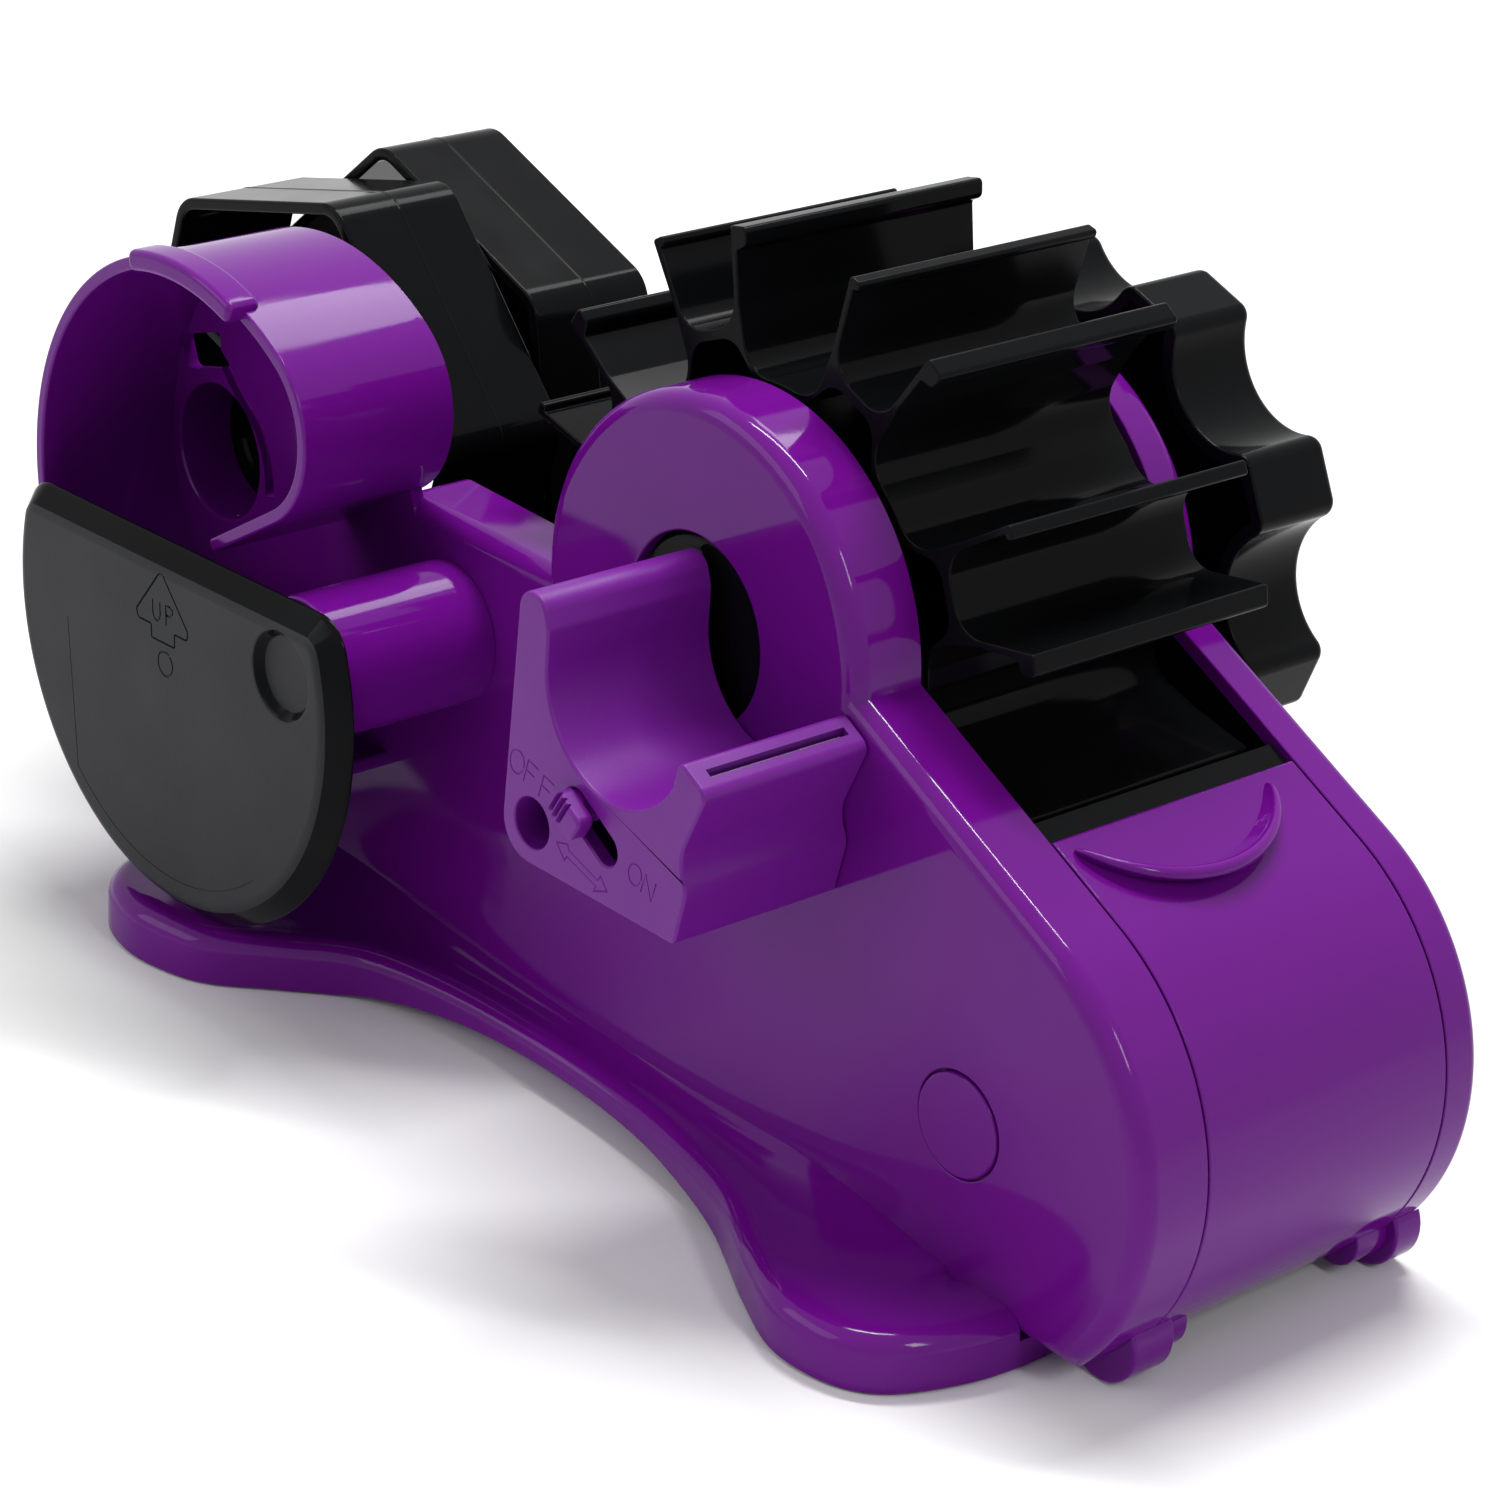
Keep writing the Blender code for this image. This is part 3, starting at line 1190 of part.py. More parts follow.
def reel_fittings():
    """The reels' fixed axle and the black cap over its near end."""
    inner = near_seam - SIDE_GAP
    cap_outer = inner - WALL
    turned("reel_axle", reel_centre,
           disc(REEL_AXLE_RADIUS, inner - WALL / 2 + SEAT_GAP, far_wall - WALL - SEAT_GAP),
           "steel", steps=24)
    turned("reel_axle_cap", reel_centre,
           [(0.0, inner - WALL / 2), (REEL_AXLE_RADIUS + SEAT_GAP, inner - WALL / 2),
            (REEL_AXLE_RADIUS + SEAT_GAP, inner), (COLLAR_RADIUS - SEAT_GAP, inner),
            (COLLAR_RADIUS - SEAT_GAP, cap_outer), (0.0, cap_outer)], "black_gloss", steps=32)


def move_to_origin():
    """Move everything so that the origin is below the middle of the length and the width."""
    backs = [x for name in REEL_PHASES for x, z in reel_outline(name)]
    middle = (min(backs) + NOSE_X + NOSE_RADIUS) / 2
    for piece in list(parts.objects) + list(cutters.objects):
        if not piece.parent:
            piece.location.x -= middle
            piece.location.y -= middle_y


def build():
    near_shell()
    far_shell()
    side_plug("near_plug", near_wall)
    side_plug("far_plug", far_wall)
    journal_hole = circle(boss_centre, JOURNAL_HOLE_RADIUS, 36)
    reel_hole = circle(reel_centre, REEL_AXLE_RADIUS + SEAT_GAP, 24)
    liner("near_liner", near_outline(), near_seam, [journal_hole])
    liner("far_liner", far_outline(), far_seam, [journal_hole, reel_hole])
    nose_panel()
    bay_floor()
    housing = housing_cutters()
    base_skirt(housing)
    base_plate()
    feet_and_screws()
    front_hook("near_front_hook", near_wall + NEAR_HOOK_INSET, NEAR_HOOK_WIDTH, NEAR_HOOK_CORE,
               housing[0])
    front_hook("far_front_hook", far_wall - FAR_HOOK_INSET, FAR_HOOK_WIDTH, FAR_HOOK_CORE,
               housing[1])
    roll_spindle()
    flap = keeper_flap()
    cutter_cradle()
    cradle_screw()
    blade, carrier = blade_pieces()
    switch = blade_switch()
    wheel = tape_wheel()
    grip = handwheel()
    fittings = wheel_fittings()
    near_reel = core_reel("near_reel", -1)
    far_reel = core_reel("far_reel", 1)
    reel_fittings()
    hang("wheel_axis", (0, 0, axle_height), wheel, grip, *fittings)
    hang("near_reel_axis", (reel_centre[0], 0, reel_centre[1]), near_reel)
    hang("far_reel_axis", (reel_centre[0], 0, reel_centre[1]), far_reel)
    hang("flap_axis", (spindle_x, flap_back, spindle_height), flap)
    hang("blade_axis", (slit_top[0], cradle_front, slit_top[1]), blade, carrier)
    hang("switch_axis", (slot_start[0], cradle_front, slot_start[1]), switch)
    move_to_origin()


build()
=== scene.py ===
import json
import math
import bmesh
import bpy
import numpy as np
from mathutils import Matrix, Vector


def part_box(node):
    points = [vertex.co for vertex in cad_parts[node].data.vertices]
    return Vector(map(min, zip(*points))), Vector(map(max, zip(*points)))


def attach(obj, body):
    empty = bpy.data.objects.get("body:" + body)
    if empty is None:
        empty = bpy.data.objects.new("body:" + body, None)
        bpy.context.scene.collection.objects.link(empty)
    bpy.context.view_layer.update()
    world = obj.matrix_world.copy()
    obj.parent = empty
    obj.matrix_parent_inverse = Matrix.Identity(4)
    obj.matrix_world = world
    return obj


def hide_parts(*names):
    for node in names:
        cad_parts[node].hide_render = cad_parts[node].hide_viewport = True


# the short name of what joins rows of points
join = np.concatenate

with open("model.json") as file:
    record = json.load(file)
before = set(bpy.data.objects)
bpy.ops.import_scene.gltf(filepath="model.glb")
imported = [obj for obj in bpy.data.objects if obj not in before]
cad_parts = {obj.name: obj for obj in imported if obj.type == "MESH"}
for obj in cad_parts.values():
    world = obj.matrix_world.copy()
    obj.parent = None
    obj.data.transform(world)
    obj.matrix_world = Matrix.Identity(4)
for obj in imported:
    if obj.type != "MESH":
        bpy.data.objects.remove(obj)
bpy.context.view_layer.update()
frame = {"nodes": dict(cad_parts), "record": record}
axleBox = np.array(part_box("wheel_axle"))
wheelBox = np.array(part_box("tape_wheel"))
# every piece is drawn in millimetres from the table point below the middle of the tape wheel
origin = np.array([axleBox[:, 0].mean(), wheelBox[:, 1].mean(), 0.0])


# A CAD node's lowest and highest corner, in millimetres.
def spanOf(node):
    return 1000 * (np.array(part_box(node)) - origin)


# The middle of a CAD node in the side view: half the sum of its corners' (X, Z).
def middleOf(node):
    low, high = spanOf(node)
    return np.array([(low[0] + high[0]) / 2, (low[2] + high[2]) / 2])


boss = middleOf("wheel_axle")
reel = middleOf("reel_axle")
spindle = middleOf("roll_spindle")

# the housing, in millimetres: Y of its walls and seams, and its side view
body = {
    "nearWall": -32.5, "nearSeam": -21.5, "farSeam": 21.5, "farWall": 27.6, "wall": 2.0,
    "bossRadius": 30.6, "nose": (53.0, 27.6), "noseRadius": 33.5, "slope": 25.4,
    "rim": 71.0, "ear": 19.0, "heel": (-84.0, 4.4), "trayBack": -62.5,
}
print("loaded the frame")


# Points along an arc, one for about every so many degrees: centre plus radius times
# (cosine, sine).
def arcOf(centre, radius, start, end, every=3.0):
    steps = max(2, math.ceil(abs(end - start) / every))
    turn = np.radians(np.linspace(start, end, steps + 1))
    return np.array(centre) + radius * np.stack([np.cos(turn), np.sin(turn)], 1)


# The step to a place that is some distance away: distance times (cosine, sine) of an angle.
def towards(angle, away=1.0):
    turn = math.radians(angle)
    return away * np.array([math.cos(turn), math.sin(turn)])


# The angle in degrees at which a centre sees a place.
def headingOf(place, centre):
    return math.degrees(math.atan2(*(place - centre)[::-1]))


# A closed outline without points that repeat the one before.
def tidyLoop(loop):
    loop = np.asarray(loop, float)
    return loop[np.linalg.norm(loop - np.roll(loop, 1, 0), axis=1) > 0.0005]


# A closed outline whose corners become arcs that touch both sides. An arc's centre is on the
# corner's bisector, its radius over the sine of half the corner's angle away.
def roundCorners(corners, radii, steps=6):
    here = np.asarray(corners, float)
    back, ahead = np.roll(here, 1, 0) - here, np.roll(here, -1, 0) - here
    back /= np.linalg.norm(back, axis=1, keepdims=True)
    ahead /= np.linalg.norm(ahead, axis=1, keepdims=True)
    half = np.arccos(np.clip((back * ahead).sum(1), -1, 1)) / 2
    radii = np.broadcast_to(np.asarray(radii, float), half.shape)
    inward = back + ahead
    inward /= np.maximum(np.linalg.norm(inward, axis=1, keepdims=True), 1e-9)
    centre = here + inward * (radii / np.sin(half))[:, None]
    ray = here + back * (radii / np.tan(half))[:, None] - centre
    way = np.sign(back[:, 1] * ahead[:, 0] - back[:, 0] * ahead[:, 1])
    turn = (way * (np.pi - 2 * half))[:, None] * np.linspace(0, 1, steps + 1)
    x = ray[:, :1] * np.cos(turn) - ray[:, 1:] * np.sin(turn)
    z = ray[:, :1] * np.sin(turn) + ray[:, 1:] * np.cos(turn)
    return tidyLoop((centre[:, None] + np.stack([x, z], 2)).reshape(-1, 2))


# The same, for an outline of many points of which only the picked ones are corners.
def softCorners(loop, picks, steps=6):
    loop = tidyLoop(loop)
    radii = np.zeros(len(loop))
    for corner, radius in picks:
        radii[np.linalg.norm(loop - np.array(corner), axis=1).argmin()] = radius
    return roundCorners(loop, radii, steps)


# How each point of a closed outline moves when its sides all move out by one: the sum of its
# two sides' normals over one plus their product.
def outwardShift(loop):
    after = np.roll(loop, -1, 0) - loop
    after /= np.linalg.norm(after, axis=1, keepdims=True)
    ahead = np.roll(loop, -1, 0)
    side = np.sign((loop[:, 0] * ahead[:, 1] - ahead[:, 0] * loop[:, 1]).sum())
    normal = np.stack([after[:, 1], -after[:, 0]], 1) * side
    before = np.roll(normal, 1, 0)
    return (normal + before) / np.maximum(1 + (normal * before).sum(1), 0.3)[:, None]


# A strip of one width along a path: the path moved to both sides along its normals. Both ends
# go on by the radius of their two rounded corners.
def ribbonLoop(path, width, corner=0.0):
    along = np.gradient(path, axis=0)
    along /= np.linalg.norm(along, axis=1, keepdims=True)
    side = np.stack([along[:, 1], -along[:, 0]], 1)
    turn = np.linspace(0, np.pi / 2, 5)[:, None]
    rows = []
    for way in (1, -1):
        last = -1 if way > 0 else 0
        end, out, off = path[last], along[last] * way, side[last] * way
        quarter = corner * (np.cos(turn) * off + np.sin(turn) * out)
        mirror = corner * (np.sin(turn) * out - np.cos(turn) * off)[::-1]
        rows += [(path + side * width / 2 * way)[::way], end + off * (width / 2 - corner)
            + quarter, end - off * (width / 2 - corner) + mirror]
    return tidyLoop(join(rows))


# A strip between a path and the same path moved to its right by a width, along its mitres.
def bandLoop(path, width):
    along = np.diff(path, axis=0)
    along /= np.linalg.norm(along, axis=1, keepdims=True)
    normal = np.stack([along[:, 1], -along[:, 0]], 1)
    before, after = np.vstack([normal[:1], normal]), np.vstack([normal, normal[-1:]])
    shift = (before + after) / (1 + (before * after).sum(1))[:, None]
    return tidyLoop(join([path, (path + width * shift)[::-1]]))


# Puts an object round its data into the scene.
def show(name, data):
    holder = bpy.data.objects.new(name, data)
    bpy.context.scene.collection.objects.link(holder)
    return holder


# A mesh object from points in millimetres, with doubles merged and its faces turned outwards.
def meshBody(name, points, faces):
    mesh = bpy.data.meshes.new(name)
    mesh.from_pydata((points / 1000 + origin).tolist(), [], faces)
    return weld(show(name, mesh), 1e-7)


# A body from rows of points: four-sided faces between the rows, each row closed on itself,
# and either flat ends or a last row that meets the first.
def gridBody(name, points, ends=True):
    rows, columns = points.shape[:2]
    index = np.arange(rows * columns).reshape(rows, columns)
    high = index[1:] if ends else np.roll(index, -1, 0)
    low = index[:len(high)]
    quads = np.stack([low, np.roll(low, -1, 1), np.roll(high, -1, 1), high], 2).reshape(-1, 4)
    faces = quads.tolist()
    if ends:
        faces += [index[0].tolist(), index[-1][::-1].tolist()]
    return meshBody(name, points.reshape(-1, 3), faces)


# A body across the dispenser: its side view's outline repeated at every (outward, Y) step of
# a section, each time moved out along its mitres.
def sweptBody(name, loop, section, ends=True):
    loop = tidyLoop(loop)
    section = np.asarray(section, float)
    flat = loop[None] + section[:, :1, None] * outwardShift(loop)[None]
    across = np.broadcast_to(section[:, 1, None], flat.shape[:2])
    return gridBody(name, np.stack([flat[..., 0], across, flat[..., 1]], 2), ends)


# A body turned about an axis along Y: each (radius, Y) of its profile becomes a circle.
def turnedBody(name, centre, profile, ends=True, steps=96):
    turn = np.arange(steps) * 2 * np.pi / steps
    radius, across = np.asarray(profile, float).T[:, :, None]
    points = np.stack([centre[0] + radius * np.cos(turn), across + 0 * turn,
        centre[1] + radius * np.sin(turn)], 2)
    return gridBody(name, points, ends)


# The same about a vertical axis through a place in the plan, with a (radius, Z) profile.
def uprightBody(name, place, profile, steps=72):
    turn = np.arange(steps) * 2 * np.pi / steps
    radius, height = np.asarray(profile, float).T[:, :, None]
    points = np.stack([place[0] + radius * np.cos(turn), place[1] + radius * np.sin(turn),
        height + 0 * turn], 2)
    return gridBody(name, points)


# The side of a body from its low end to its high end, both edges rounded by quarter circles.
def edgeSection(low, high, lowRadius, highRadius=None, steps=4):
    highRadius = lowRadius if highRadius is None else highRadius
    turn = np.linspace(0, np.pi / 2, steps + 1)
    start = np.stack([lowRadius * (np.sin(turn) - 1), low + lowRadius * (1 - np.cos(turn))], 1)
    end = np.stack([highRadius * (np.cos(turn) - 1), high - highRadius * (1 - np.sin(turn))], 1)
    return join([start, end])


# The profile of a disc: edgeSection's side, moved out to the radius and closed on the axis.
def discProfile(radius, low, high, lowRound, highRound=None):
    side = edgeSection(low, high, lowRound, highRound) + (radius, 0)
    return join([[(0.0, low)], side, [(0.0, high)]])


# Merges doubled points and turns the faces outwards.
def weld(piece, within=1e-6):
    form = bmesh.new()
    form.from_mesh(piece.data)
    bmesh.ops.remove_doubles(form, verts=form.verts, dist=within)
    bmesh.ops.recalc_face_normals(form, faces=form.faces)
    form.to_mesh(piece.data)
    form.free()
    return piece


# Cuts pieces out of a body, or joins them to it, and keeps the result as its mesh.
def carve(piece, *tools, how="DIFFERENCE"):
    for tool in tools:
        step = piece.modifiers.new("carve", "BOOLEAN")
        step.operation, step.solver, step.object = how, "MANIFOLD", tool
    graph = bpy.context.evaluated_depsgraph_get()
    mesh = bpy.data.meshes.new_from_object(piece.evaluated_get(graph))
    piece.modifiers.clear()
    piece.data = mesh
    for tool in tools:
        bpy.data.objects.remove(tool)
    return weld(piece)


# A hole's cutter, which leaves a rounded edge of the flare's radius at the face it enters.
def holeTool(centre, radius, face, inward, depth, flare=0.3):
    turn = np.linspace(0, np.pi / 2, 5)
    edge = np.stack([radius + flare * (1 - np.sin(turn)), flare * (1 - np.cos(turn))], 1)
    profile = join([[(0, -2), (radius + flare, -2)], edge, [(radius, depth), (0, depth)]])
    profile[:, 1] = face + inward * profile[:, 1]
    return turnedBody("hole", centre, profile)


# A groove's cutter along a line in a face across Y: a ring with a V for its section round a
# closed outline, or a thin round rod along an open path.
def grooveTool(path, face, radius, closed=False):
    path = np.asarray(path, float)
    if closed:
        return sweptBody("groove", path, [(radius, face - 0.1), (radius, face),
            (0, face + radius), (-radius, face), (-radius, face - 0.1)], False)
    along = np.gradient(path, axis=0)
    along /= np.linalg.norm(along, axis=1, keepdims=True)
    turn = np.arange(8) * np.pi / 4
    side = np.stack([along[:, 1], -along[:, 0]], 1)[:, None] * (radius * np.cos(turn))[:, None]
    flat = path[:, None] + side
    across = face + np.broadcast_to(radius * np.sin(turn), flat.shape[:2])
    return gridBody("groove", np.stack([flat[..., 0], across, flat[..., 1]], 2))


# A disc with a sloped dish in its near face, in the place of a node.
def dishedDisc(name, node, centre, dish, depth, slope, edge):
    low, high = spanOf(node)
    profile = join([[(0, low[1] + depth), (dish - slope, low[1] + depth), (dish, low[1])],
        edgeSection(low[1], high[1], edge, 0.2) + ((high[0] - low[0]) / 2, 0), [(0, high[1])]])
    return turnedBody(name, centre, profile)


# Several bodies as one object.
def gather(piece, *others):
    form = bmesh.new()
    for part in (piece, *others):
        form.from_mesh(part.data)
    form.to_mesh(piece.data)
    form.free()
    for part in others:
        bpy.data.objects.remove(part)
    return piece


# A new node with its inputs' constants.
def addNode(nodes, kind, **constants):
    node = nodes.new("ShaderNode" + kind)
    for name, value in constants.items():
        node.inputs[name].default_value = value
    return node


# A material: a colour that drifts a little over two sizes of noise, a roughness that drifts
# with it, and a bump of fine grain over long moulding waves.
def makeMaterial(name, look):
    material = bpy.data.materials.new(name)
    material.use_nodes = True
    nodes, link = material.node_tree.nodes, material.node_tree.links.new
    shader = nodes["Principled BSDF"]
    place = addNode(nodes, "TexCoord").outputs["Object"]
    clouds = addNode(nodes, "TexNoise", Scale=look["cloudScale"], Detail=3.0)
    grain = addNode(nodes, "TexNoise", Scale=look["grainScale"], Detail=2.0)
    link(place, clouds.inputs["Vector"])
    link(place, grain.inputs["Vector"])
    tint = nodes.new("ShaderNodeMix")
    tint.data_type = "RGBA"
    tint.inputs["A"].default_value = (*look["colour"], 1.0)
    tint.inputs["B"].default_value = (*look["drift"], 1.0)
    link(clouds.outputs["Fac"], tint.inputs["Factor"])
    link(tint.outputs["Result"], shader.inputs["Base Color"])
    smooth, coarse = look["roughness"]
    rough = addNode(nodes, "MapRange", **{"From Min": 0.3, "From Max": 0.7, "To Min": smooth,
        "To Max": coarse})
    link(clouds.outputs["Fac"], rough.inputs["Value"])
    link(rough.outputs["Result"], shader.inputs["Roughness"])
    wave = addNode(nodes, "Bump", Strength=look["waves"], Distance=0.001)
    link(clouds.outputs["Fac"], wave.inputs["Height"])
    bump = addNode(nodes, "Bump", Strength=look["bump"], Distance=0.0001)
    link(grain.outputs["Fac"], bump.inputs["Height"])
    link(wave.outputs["Normal"], bump.inputs["Normal"])
    link(bump.outputs["Normal"], shader.inputs["Normal"])
    shader.inputs["Metallic"].default_value = look.get("metallic", 0.0)
    shader.inputs["Specular IOR Level"].default_value = look.get("specular", 0.5)
    return material


finishes = {
    "purpleGloss": {"colour": (0.134, 0.0035, 0.216), "drift": (0.122, 0.0035, 0.200),
        "roughness": (0.06, 0.10), "cloudScale": 60.0, "grainScale": 2600.0,
        "waves": 0.010, "bump": 0.02, "specular": 0.16, "slot": "purple_gloss"},
    "purpleSatin": {"colour": (0.150, 0.007, 0.245), "drift": (0.132, 0.006, 0.222),
        "roughness": (0.34, 0.42), "cloudScale": 90.0, "grainScale": 3000.0,
        "waves": 0.010, "bump": 0.16, "specular": 0.24, "slot": "purple_satin"},
    "blackGloss": {"colour": (0.0030, 0.0032, 0.0038), "drift": (0.0040, 0.0043, 0.0050),
        "roughness": (0.10, 0.17), "cloudScale": 70.0, "grainScale": 2400.0,
        "waves": 0.012, "bump": 0.03, "specular": 0.055, "slot": "black_gloss"},
    "blackMatte": {"colour": (0.015, 0.0155, 0.0180), "drift": (0.018, 0.0185, 0.0215),
        "roughness": (0.46, 0.54), "cloudScale": 80.0, "grainScale": 4200.0,
        "waves": 0.006, "bump": 0.30, "specular": 0.16, "slot": "black_matte"},
    "rubber": {"colour": (0.018, 0.018, 0.019), "drift": (0.026, 0.026, 0.027),
        "roughness": (0.75, 0.90), "cloudScale": 120.0, "grainScale": 3500.0,
        "waves": 0.0, "bump": 0.5, "slot": "rubber"},
    "steel": {"colour": (0.56, 0.57, 0.58), "drift": (0.50, 0.51, 0.52),
        "roughness": (0.24, 0.32), "cloudScale": 150.0, "grainScale": 3000.0,
        "waves": 0.0, "bump": 0.08, "metallic": 1.0, "slot": "steel"},
}
materials = {name: makeMaterial(name, look) for name, look in finishes.items()}
finishOfSlot = {look["slot"]: name for name, look in finishes.items()}
for entry in frame["record"]["subparts"]:
    node = frame["nodes"][entry["node"]]
    node.data.materials.clear()
    node.data.materials.append(materials[finishOfSlot[entry["material_slot"]]])
print("made the materials and dressed the frame")


# Gives a piece its material, smooth shading up to an angle with the large faces kept flat, and the
# CAD body that carries it, and hides the nodes that it stands for.
def settle(piece, finish, rider, *nodes, sharp=35.0):
    piece.data.materials.clear()
    piece.data.materials.append(materials[finish])
    piece.data.shade_smooth()
    piece.data.set_sharp_from_angle(angle=math.radians(sharp))
    flat = piece.modifiers.new("flatFaces", "WEIGHTED_NORMAL")
    flat.keep_sharp = True
    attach(piece, rider)
    if nodes:
        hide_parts(*nodes)
    return piece


# Housing

# The nose, the slope and the boss in the side view: two arcs joined by the slope's line,
# which meets the boss where it first crosses the boss circle.
def frontOutline():
    nose, radius = np.array(body["nose"]), body["noseRadius"]
    chin = math.degrees(math.asin((body["heel"][1] - nose[1]) / radius))
    noseArc = np.delete(arcOf(nose, radius, chin, 90 - body["slope"], 2.0), 1, 0)
    run = towards(180 - body["slope"])
    gap = noseArc[-1] - boss
    half = gap @ run
    end = noseArc[-1] + run * (-half - math.sqrt(half ** 2 - gap @ gap + body["bossRadius"] ** 2))
    start = headingOf(end, boss)
    rim = 180 - math.degrees(math.asin((body["rim"] - boss[1]) / body["bossRadius"]))
    return join([noseArc, arcOf(boss, body["bossRadius"], start, rim, 2.0)])


# A tray that opens at the seam: its floor, its inner side, the seam's edge with a fine
# chamfer, its outer side and the rounded edge of its face.
def trayBody(name, loop, seam, outer, rounding):
    side, wall, chamfer = math.copysign(1, outer), body["wall"], 0.12
    turn = np.linspace(0, np.pi / 2, 8)
    back, rise = rounding * (np.cos(turn) - 1), rounding * (1 - np.sin(turn))
    edge = np.stack([back, outer - side * rise], 1)
    section = [(-wall, outer - side * wall), (-wall, seam), (-chamfer, seam),
        (0, seam + side * chamfer)]
    return sweptBody(name, loop, join([section, edge]))


shell = {
    "cornerRadius": 3.2, "nearRounding": 2.8, "farRounding": 1.8, "journalHole": 12.75,
    "holeEdge": 0.35, "plugGap": 0.3, "plugDepth": 1.2, "collar": 9.9, "collarWall": 1.3,
    "collarEnd": -22.1,
    "screwHole": 1.8, "spindleHole": 5.3, "tube": 7.0, "tubeEnd": 2.1, "axleGap": 0.3,
}
front = frontOutline()
heel = np.array(body["heel"])
corners = [(body["trayBack"], body["rim"]), heel]
nearLoop = softCorners(join([front, corners]),
    [(corner, shell["cornerRadius"]) for corner in corners])
rise = math.degrees(math.asin((body["rim"] - reel[1]) / body["ear"]))
away = math.dist(heel, reel)
fall = headingOf(heel, reel) % 360 - math.degrees(math.acos(body["ear"] / away))
farLoop = softCorners(join([front, arcOf(reel, body["ear"], rise, fall), [heel]]),
    [(heel, shell["cornerRadius"])])

cup = {
    "centre": (-80.4, 63.3), "radius": 38.1, "corner": 13.9, "cornerAngle": 57.0,
    "openAngle": 298.0, "lipAngle": -57.0, "lipReach": 17.2, "endRound": 0.6, "wall": 1.9,
    "front": -54.8, "rimEdge": 0.45, "floorStep": 0.02, "pegAngle": 112.0, "pegRadius": 1.3,
    "pegFront": -43.0, "pegEdge": 0.4, "catch": (72.0, 105.0), "catchRise": 1.2,
    "catchReach": 2.6, "catchEdge": 0.9, "catchCorner": 1.2, "slotWidth": 2.1, "slotDepth": 3.0,
    "slotCorner": 0.5, "windowRounds": (0.8, 1.2, 1.2, 0.8),
    # the slot round the reels' collar, as (distance, angle) from the reels' axis
    "slotPath": ((12.9, -10), (12.5, 2), (12.1, 18), (11.7, 34), (11.3, 48), (11.2, 60), (11.9,
        72),
        (13.2, 82), (14.6, 91)),
    "windowCorners": ((12.6, 88), (12.9, 128), (17.8, 124), (18.2, 90)),
}


# The cup's wall along its middle: the lip, the small corner and the large sweep.
def cupPath(inset, lip=True):
    centre = np.array(cup["centre"])
    middle = centre + towards(cup["cornerAngle"], cup["radius"] - cup["corner"])
    corner = arcOf(middle, cup["corner"] - inset, cup["lipAngle"], cup["cornerAngle"])
    sweep = arcOf(centre, cup["radius"] - inset, cup["cornerAngle"], cup["openAngle"], 2.0)[1:]
    path = join([corner, sweep])
    if not lip:
        return path
    reach = np.linspace(cup["lipReach"] - cup["endRound"], 0, 5)[:-1, None]
    return join([corner[0] + reach * towards(cup["lipAngle"] - 90), path])


# Points given by distance and angle from the reels' axis.
def aroundReel(places):
    away, angle = np.array(places, float).T
    angle = np.radians(angle)
    return reel + np.stack([away * np.cos(angle), away * np.sin(angle)], 1)


# A curve through a few points: cubic arcs that leave and arrive along the neighbours' line.
def smoothPath(points, steps, closed=False):
    points = np.asarray(points, float)
    if not closed:
        points = join([2 * points[:1] - points[1:2], points, 2 * points[-1:] - points[-2:-1]])
    before, here = np.roll(points, 1, 0), points
    ahead, after = np.roll(points, -1, 0), np.roll(points, -2, 0)
    t = (np.arange(steps) / steps)[:, None]
    leave, arrive = ((ahead - before) / 2)[:, None], ((after - here) / 2)[:, None]
    curve = (here[:, None] + (ahead - here)[:, None] * (t * t * (3 - 2 * t))
        + t * (1 - t) * ((1 - t) * leave - t * arrive))
    return curve.reshape(-1, 2) if closed else join([curve[1:-2].reshape(-1, 2), points[-2:-1]])


